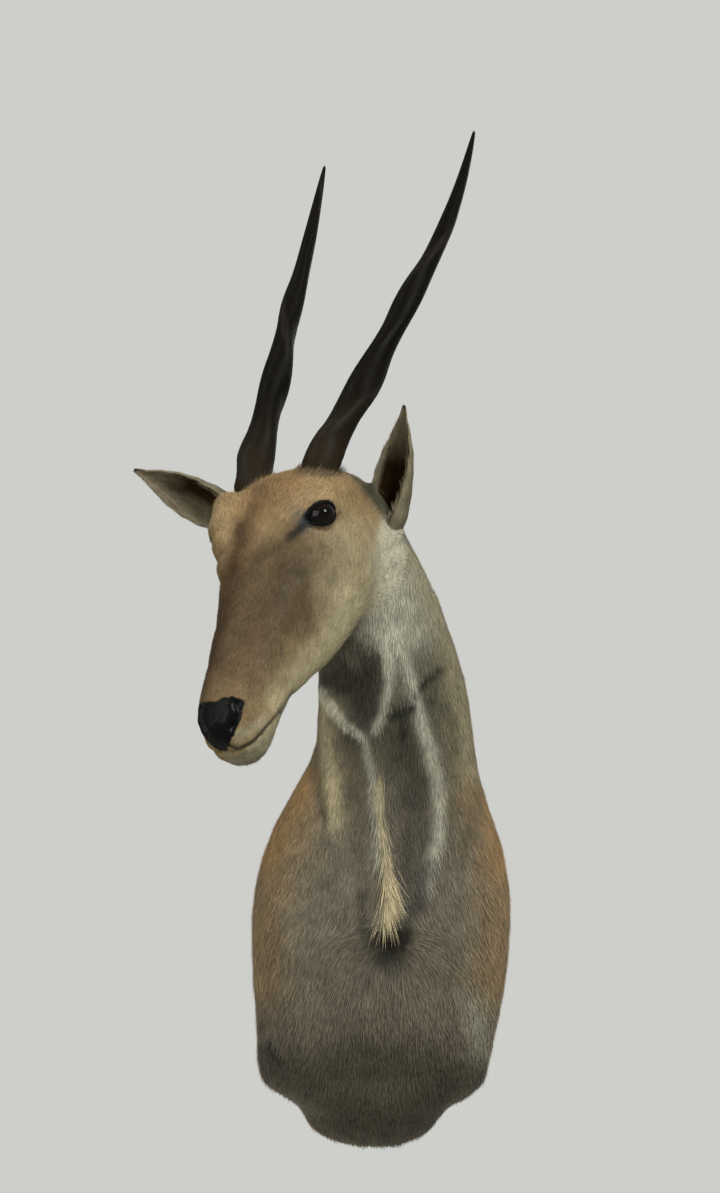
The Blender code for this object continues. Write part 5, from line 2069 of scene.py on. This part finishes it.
@dataclass(frozen=True)
class Back:
    """What hangs the mount: the backboard, the turned and stapled edge of the hide, plate and screws."""

    half_width: float = 0.145
    half_height: float = 0.235
    middle_height: float = 0.020
    squareness: float = 2.8
    rebate: float = 0.004
    edge_inner: float = 0.0135
    edge_back: float = -0.0021
    edge_front: float = -0.0039
    plate_height: float = 0.150
    plate_back: float = -0.0005
    screw_spacing: float = 0.070
    head_radius: float = 0.0042
    head_height: float = 0.0018
    shank_radius: float = 0.0019
    screw_length: float = 0.013
    staples: int = 44

    def outline(self, turn: np.ndarray, inset: np.ndarray | float, y: np.ndarray | float) -> np.ndarray:
        """Points on the board's outline.

        Args:
            turn: How far round it, in radians.
            inset: How far in from its edge.
            y: How far from the wall.

        Returns:
            One point in each row.
        """
        power = 2 / self.squareness
        x = (self.half_width - inset) * np.sign(np.cos(turn)) * np.abs(np.cos(turn)) ** power
        z = (self.half_height - inset) * np.sign(np.sin(turn)) * np.abs(np.sin(turn)) ** power
        return np.stack([x, np.broadcast_to(y, x.shape), self.middle_height + z], 1)

    def build(self) -> None:
        """Builds and dresses everything on the back."""
        steel = self.steel_material()
        board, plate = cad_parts["backboard"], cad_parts["hanger_plate"]
        board.material_slots[0].material = self.plywood_material()
        plate.material_slots[0].material = steel
        self.build_edge()
        self.build_staples(steel)
        for name, side in (("hanger_screw_upper", 1), ("hanger_screw_lower", -1)):
            self.build_screw(name, side, steel)

    def build_edge(self) -> None:
        """Builds the raw edge of the hide, turned on to the board's rebate."""
        turn = np.linspace(0, 2 * pi, 420, endpoint=False)
        path = self.outline(turn, 0.0, 0.0)
        uneven = 0.0022 * ripple(path, 0.05, 71) + 0.0007 * ripple(path, 0.012, 72)
        swell = 0.00035 * ripple(path, 0.02, 73)
        inner = self.edge_inner + uneven - 0.0022
        middle = (self.edge_back + self.edge_front) / 2
        sections = (
            (0.0004, self.edge_front),
            (0.0002, middle),
            (0.0006, self.edge_back),
            (0.5, self.edge_back + swell),
            (1.0, middle + 0.0006),
            (1.02, middle),
            (0.99, self.edge_front),
            (0.5, self.edge_front),
        )
        rings = [self.outline(turn, inner * share if share > 0.01 else share, y) for share, y in sections]
        edge = loft("hide_turned_edge", np.array(rings), closed=True)
        close_up(edge)
        edge.data.shade_smooth()
        finish = Finish("rawhide", 0.7, 0.3)
        wiring = finish.wiring
        patches = wiring.noise(finish.place(), 60.0, 4.0, 0.6)
        finish.colour(wiring.mix(patches, shade(138, 112, 76), Tone.RAWHIDE.value))
        finish.rough(wiring.ramp(patches, 0.3, 0.7, 0.55, 0.8))
        finish.bump(wiring.noise(finish.place(), 420.0, 3.0), 0.0005, 0.7)
        edge.data.materials.append(finish.material)
        finish_piece(edge, "hide")

    def build_staples(self, steel: bpy.types.Material) -> None:
        """Drives staples through the turned edge.

        Args:
            steel: Their material.
        """
        half, wire, leg = 0.0050, 0.00045, 0.0040
        bar = []
        for x, y in ((-half, -leg), (-half, 0.0), (half, 0.0), (half, -leg)):
            lean = wire if x < 0 else -wire
            low = wire if y == 0.0 else 0.0
            bar.append([(x - lean, y + low, -wire), (x + lean, y - low, -wire), (x + lean, y - low, wire), (x - lean, y + low, wire)])
        staple = loft("staple", np.array(bar))
        turn = np.linspace(0, 2 * pi, self.staples, endpoint=False) + 0.07
        places = self.outline(turn, 0.0068, self.edge_back + 0.0006)
        step = self.outline(turn + 0.01, 0.0068, 0.0) - self.outline(turn - 0.01, 0.0068, 0.0)
        line = mesh_object("staples", places, [])
        keep(line, "turn", -np.arctan2(step[:, 2], step[:, 0]))
        tree = StapleTree().tree
        grow(line, tree, {"Staple": staple, "Askew": 0.35, "Seed": 4, "Material": steel})
        bpy.data.objects.remove(staple)
        close_up(line, 1e-6)
        line.data.shade_flat()
        finish_piece(line, "steel")

    def build_screw(self, name: str, side: int, steel: bpy.types.Material) -> None:
        """Builds a countersunk screw with a cross recess.

        Args:
            name: The node that it stands for.
            side: 1 above the keyhole and -1 below it.
            steel: Its material.
        """
        z = self.plate_height + side * self.screw_spacing / 2
        back = self.plate_back
        profile = [
            (0.0, back),
            (self.head_radius - 0.0003, back),
            (self.head_radius, back - 0.0002),
            (self.head_radius, back - 0.0004),
            (self.shank_radius + 0.0002, back - self.head_height),
        ]
        turns = 7
        for k in range(2 * turns + 1):
            share = k / (2 * turns)
            thread = self.shank_radius * (1.0 if k % 2 else 0.76) * (1 - 0.75 * smooth(np.array([share]), 0.7, 1)[0])
            profile.append((thread, back - self.head_height - 0.0006 - share * (self.screw_length - self.head_height - 0.001)))
        profile.append((0.0, back - self.screw_length))
        angle = np.linspace(0, 2 * pi, 40, endpoint=False)
        rings = [np.stack([r * np.cos(angle), np.full(40, y), z + r * np.sin(angle)], 1) for r, y in profile]
        screw = loft(name + "_visual", np.array(rings))
        close_up(screw)
        cutters = []
        for tilt in (0.5, 0.5 + pi / 2):
            shape = bmesh.new()
            place = Matrix.Translation((0, back, z)) @ Matrix.Rotation(tilt, 4, "Y")
            bmesh.ops.create_cube(shape, size=1, matrix=place @ Matrix.Diagonal((0.0044, 0.0022, 0.0008, 1)))
            cutter = mesh_object("recess", [v.co[:] for v in shape.verts], [[v.index for v in f.verts] for f in shape.faces])
            shape.free()
            cut = screw.modifiers.new("recess", "BOOLEAN")
            cut.solver = "EXACT"
            cut.object = cutter
            cutters.append(cutter)
        settle(screw)
        for cutter in cutters:
            bpy.data.objects.remove(cutter)
        screw.data.shade_smooth()
        screw.data.set_sharp_from_angle(angle=radians(35))
        screw.data.materials.clear()
        screw.data.materials.append(steel)
        finish_piece(screw, "steel", name)

    def plywood_material(self) -> bpy.types.Material:
        """Plywood: long grain on its faces, and its plies on its edge."""
        finish = Finish("plywood", 0.72, 0.25)
        wiring = finish.wiring
        long = wiring.node("ShaderNodeMapping", {"Vector": finish.place(), "Scale": (1.0, 1.0, 0.06)}).outputs[0]
        grain = wiring.noise(long, 120.0, 5.0, 0.65)
        broad = wiring.node("ShaderNodeMapping", {"Vector": finish.place(), "Scale": (1.0, 0.1, 0.12)}).outputs[0]
        figure = wiring.math("FRACT", wiring.math("MULTIPLY", wiring.noise(broad, 9.0, 2.0), 14.0))
        wood = wiring.mix(grain, shade(176, 142, 98), shade(212, 182, 138))
        wood = wiring.mix(wiring.ramp(figure, 0.75, 1.0, 0.0, 0.5), wood, shade(142, 104, 64))
        depth = wiring.node("ShaderNodeSeparateXYZ", {0: finish.place()}).outputs[1]
        plies = wiring.math("FRACT", wiring.math("MULTIPLY", depth, 330.0))
        wood = wiring.mix(wiring.ramp(plies, 0.45, 0.55, 0.0, 0.22), wood, shade(120, 84, 50))
        finish.colour(wood)
        finish.rough(wiring.ramp(grain, 0.3, 0.7, 0.62, 0.82))
        finish.bump(grain, 0.0005, 0.6)
        return finish.material

    def steel_material(self) -> bpy.types.Material:
        """Zinc-plated steel: crystal patches, fine scratches and a duller, greyer tone in places."""
        finish = Finish("zinc-plated steel", 0.38, 0.5, 1.0)
        wiring = finish.wiring
        cells = wiring.node("ShaderNodeTexVoronoi", {"Vector": finish.place(), "Scale": 160.0}).outputs["Color"]
        patches = wiring.noise(finish.place(), 120.0, 4.0, 0.6)
        base = wiring.mix(patches, shade(150, 152, 152), shade(196, 198, 198))
        base = wiring.mix(0.10, base, cells)
        finish.colour(base)
        finish.rough(wiring.ramp(patches, 0.3, 0.7, 0.28, 0.5))
        scratches = wiring.node("ShaderNodeMapping", {"Vector": finish.place(), "Scale": (1.0, 1.0, 0.05)}).outputs[0]
        finish.bump(wiring.noise(scratches, 2500.0, 2.0), 0.0001, 0.5)
        return finish.material


class Studio:
    """Plain floor, soft light and a pale surrounding."""

    FLOOR_HEIGHT = -0.90
    FLOOR_RADIUS = 1.15
    SURROUNDING = shade(206, 207, 203)

    def build(self) -> None:
        """Builds the floor, the surrounding and the lights."""
        corners = 96
        ring = [(cos(2 * pi * k / corners) * self.FLOOR_RADIUS, sin(2 * pi * k / corners) * self.FLOOR_RADIUS) for k in range(corners)]
        floor = mesh_object("floor", [(x, y, self.FLOOR_HEIGHT) for x, y in ring], [tuple(range(corners))])
        finish = Finish("pale floor", 0.9)
        grain = finish.wiring.noise(finish.place(), 6.0, 3.0)
        finish.colour(finish.wiring.mix(grain, shade(206, 205, 200), shade(220, 219, 215)))
        floor.data.materials.append(finish.material)
        self.surround()
        self.lamp("key", (1.7, -2.7, 2.7), 1.3, 112.0, (-0.05, -0.3, 0.35))
        self.lamp("fill", (-2.4, -2.6, 1.2), 2.2, 40.0, (-0.05, -0.3, 0.35))
        self.lamp("top", (-1.3, -0.6, 2.4), 0.4, 8.0, (-0.2, -0.6, 0.4))
        self.lamp("back", (1.2, 1.8, 1.8), 1.8, 12.0, (0.0, -0.2, 0.5))

    def surround(self) -> None:
        """Sets a pale surrounding that lights softly."""
        world = bpy.data.worlds.new("surrounding")
        world.use_nodes = True
        bpy.context.scene.world = world
        wiring = Wiring(world.node_tree)
        shown = world.node_tree.nodes["Background"]
        shown.inputs["Color"].default_value = (*self.SURROUNDING, 1)
        soft = wiring.node("ShaderNodeBackground", {"Color": (*self.SURROUNDING, 1), "Strength": 0.48})
        direct = wiring.node("ShaderNodeLightPath").outputs["Is Camera Ray"]
        both = wiring.node("ShaderNodeMixShader", {0: direct, 1: soft.outputs[0], 2: shown.outputs[0]})
        output = world.node_tree.nodes["World Output"]
        wiring.put(output.inputs["Surface"], both.outputs[0])
        bpy.context.scene.view_settings.view_transform = "Standard"

    def lamp(self, name: str, place: Spot, size: float, power: float, target: Spot) -> None:
        """Adds a soft square lamp.

        Args:
            name: Its name.
            place: Where it stands.
            size: Its side.
            power: Its power in watts.
            target: What it points at.
        """
        light = bpy.data.lights.new(name, "AREA")
        light.size = size
        light.energy = power
        made = bpy.data.objects.new(name, light)
        made.location = place
        made.rotation_euler = (Vector(target) - Vector(place)).to_track_quat("-Z", "Y").to_euler()
        bpy.context.scene.collection.objects.link(made)


def main() -> None:
    """Builds the mount, piece by piece, and the studio round it."""
    logging.basicConfig(level=logging.INFO, format="%(message)s")
    VIEWER.build_camera()
    Studio().build()
    coats = Coats()
    barber = Barber()
    hide = Hide()
    hide.build()
    hide.dress(coats, barber)
    horn_tree = HornTree().tree
    horn = horn_material()
    for part in HORNS:
        part.build(horn_tree, horn)
    glass = glass_material()
    for seed, eye in enumerate((EYE_RIGHT, EYE_LEFT)):
        eye.build_ball(glass)
        eye.build_lids(hide.cape, coats, barber, 40 + 2 * seed)
    for seed, ear in enumerate((EAR_RIGHT, EAR_LEFT), start=50):
        ear.dress(coats, barber, seed)
    Back().build()


if __name__ == "__main__":
    main()
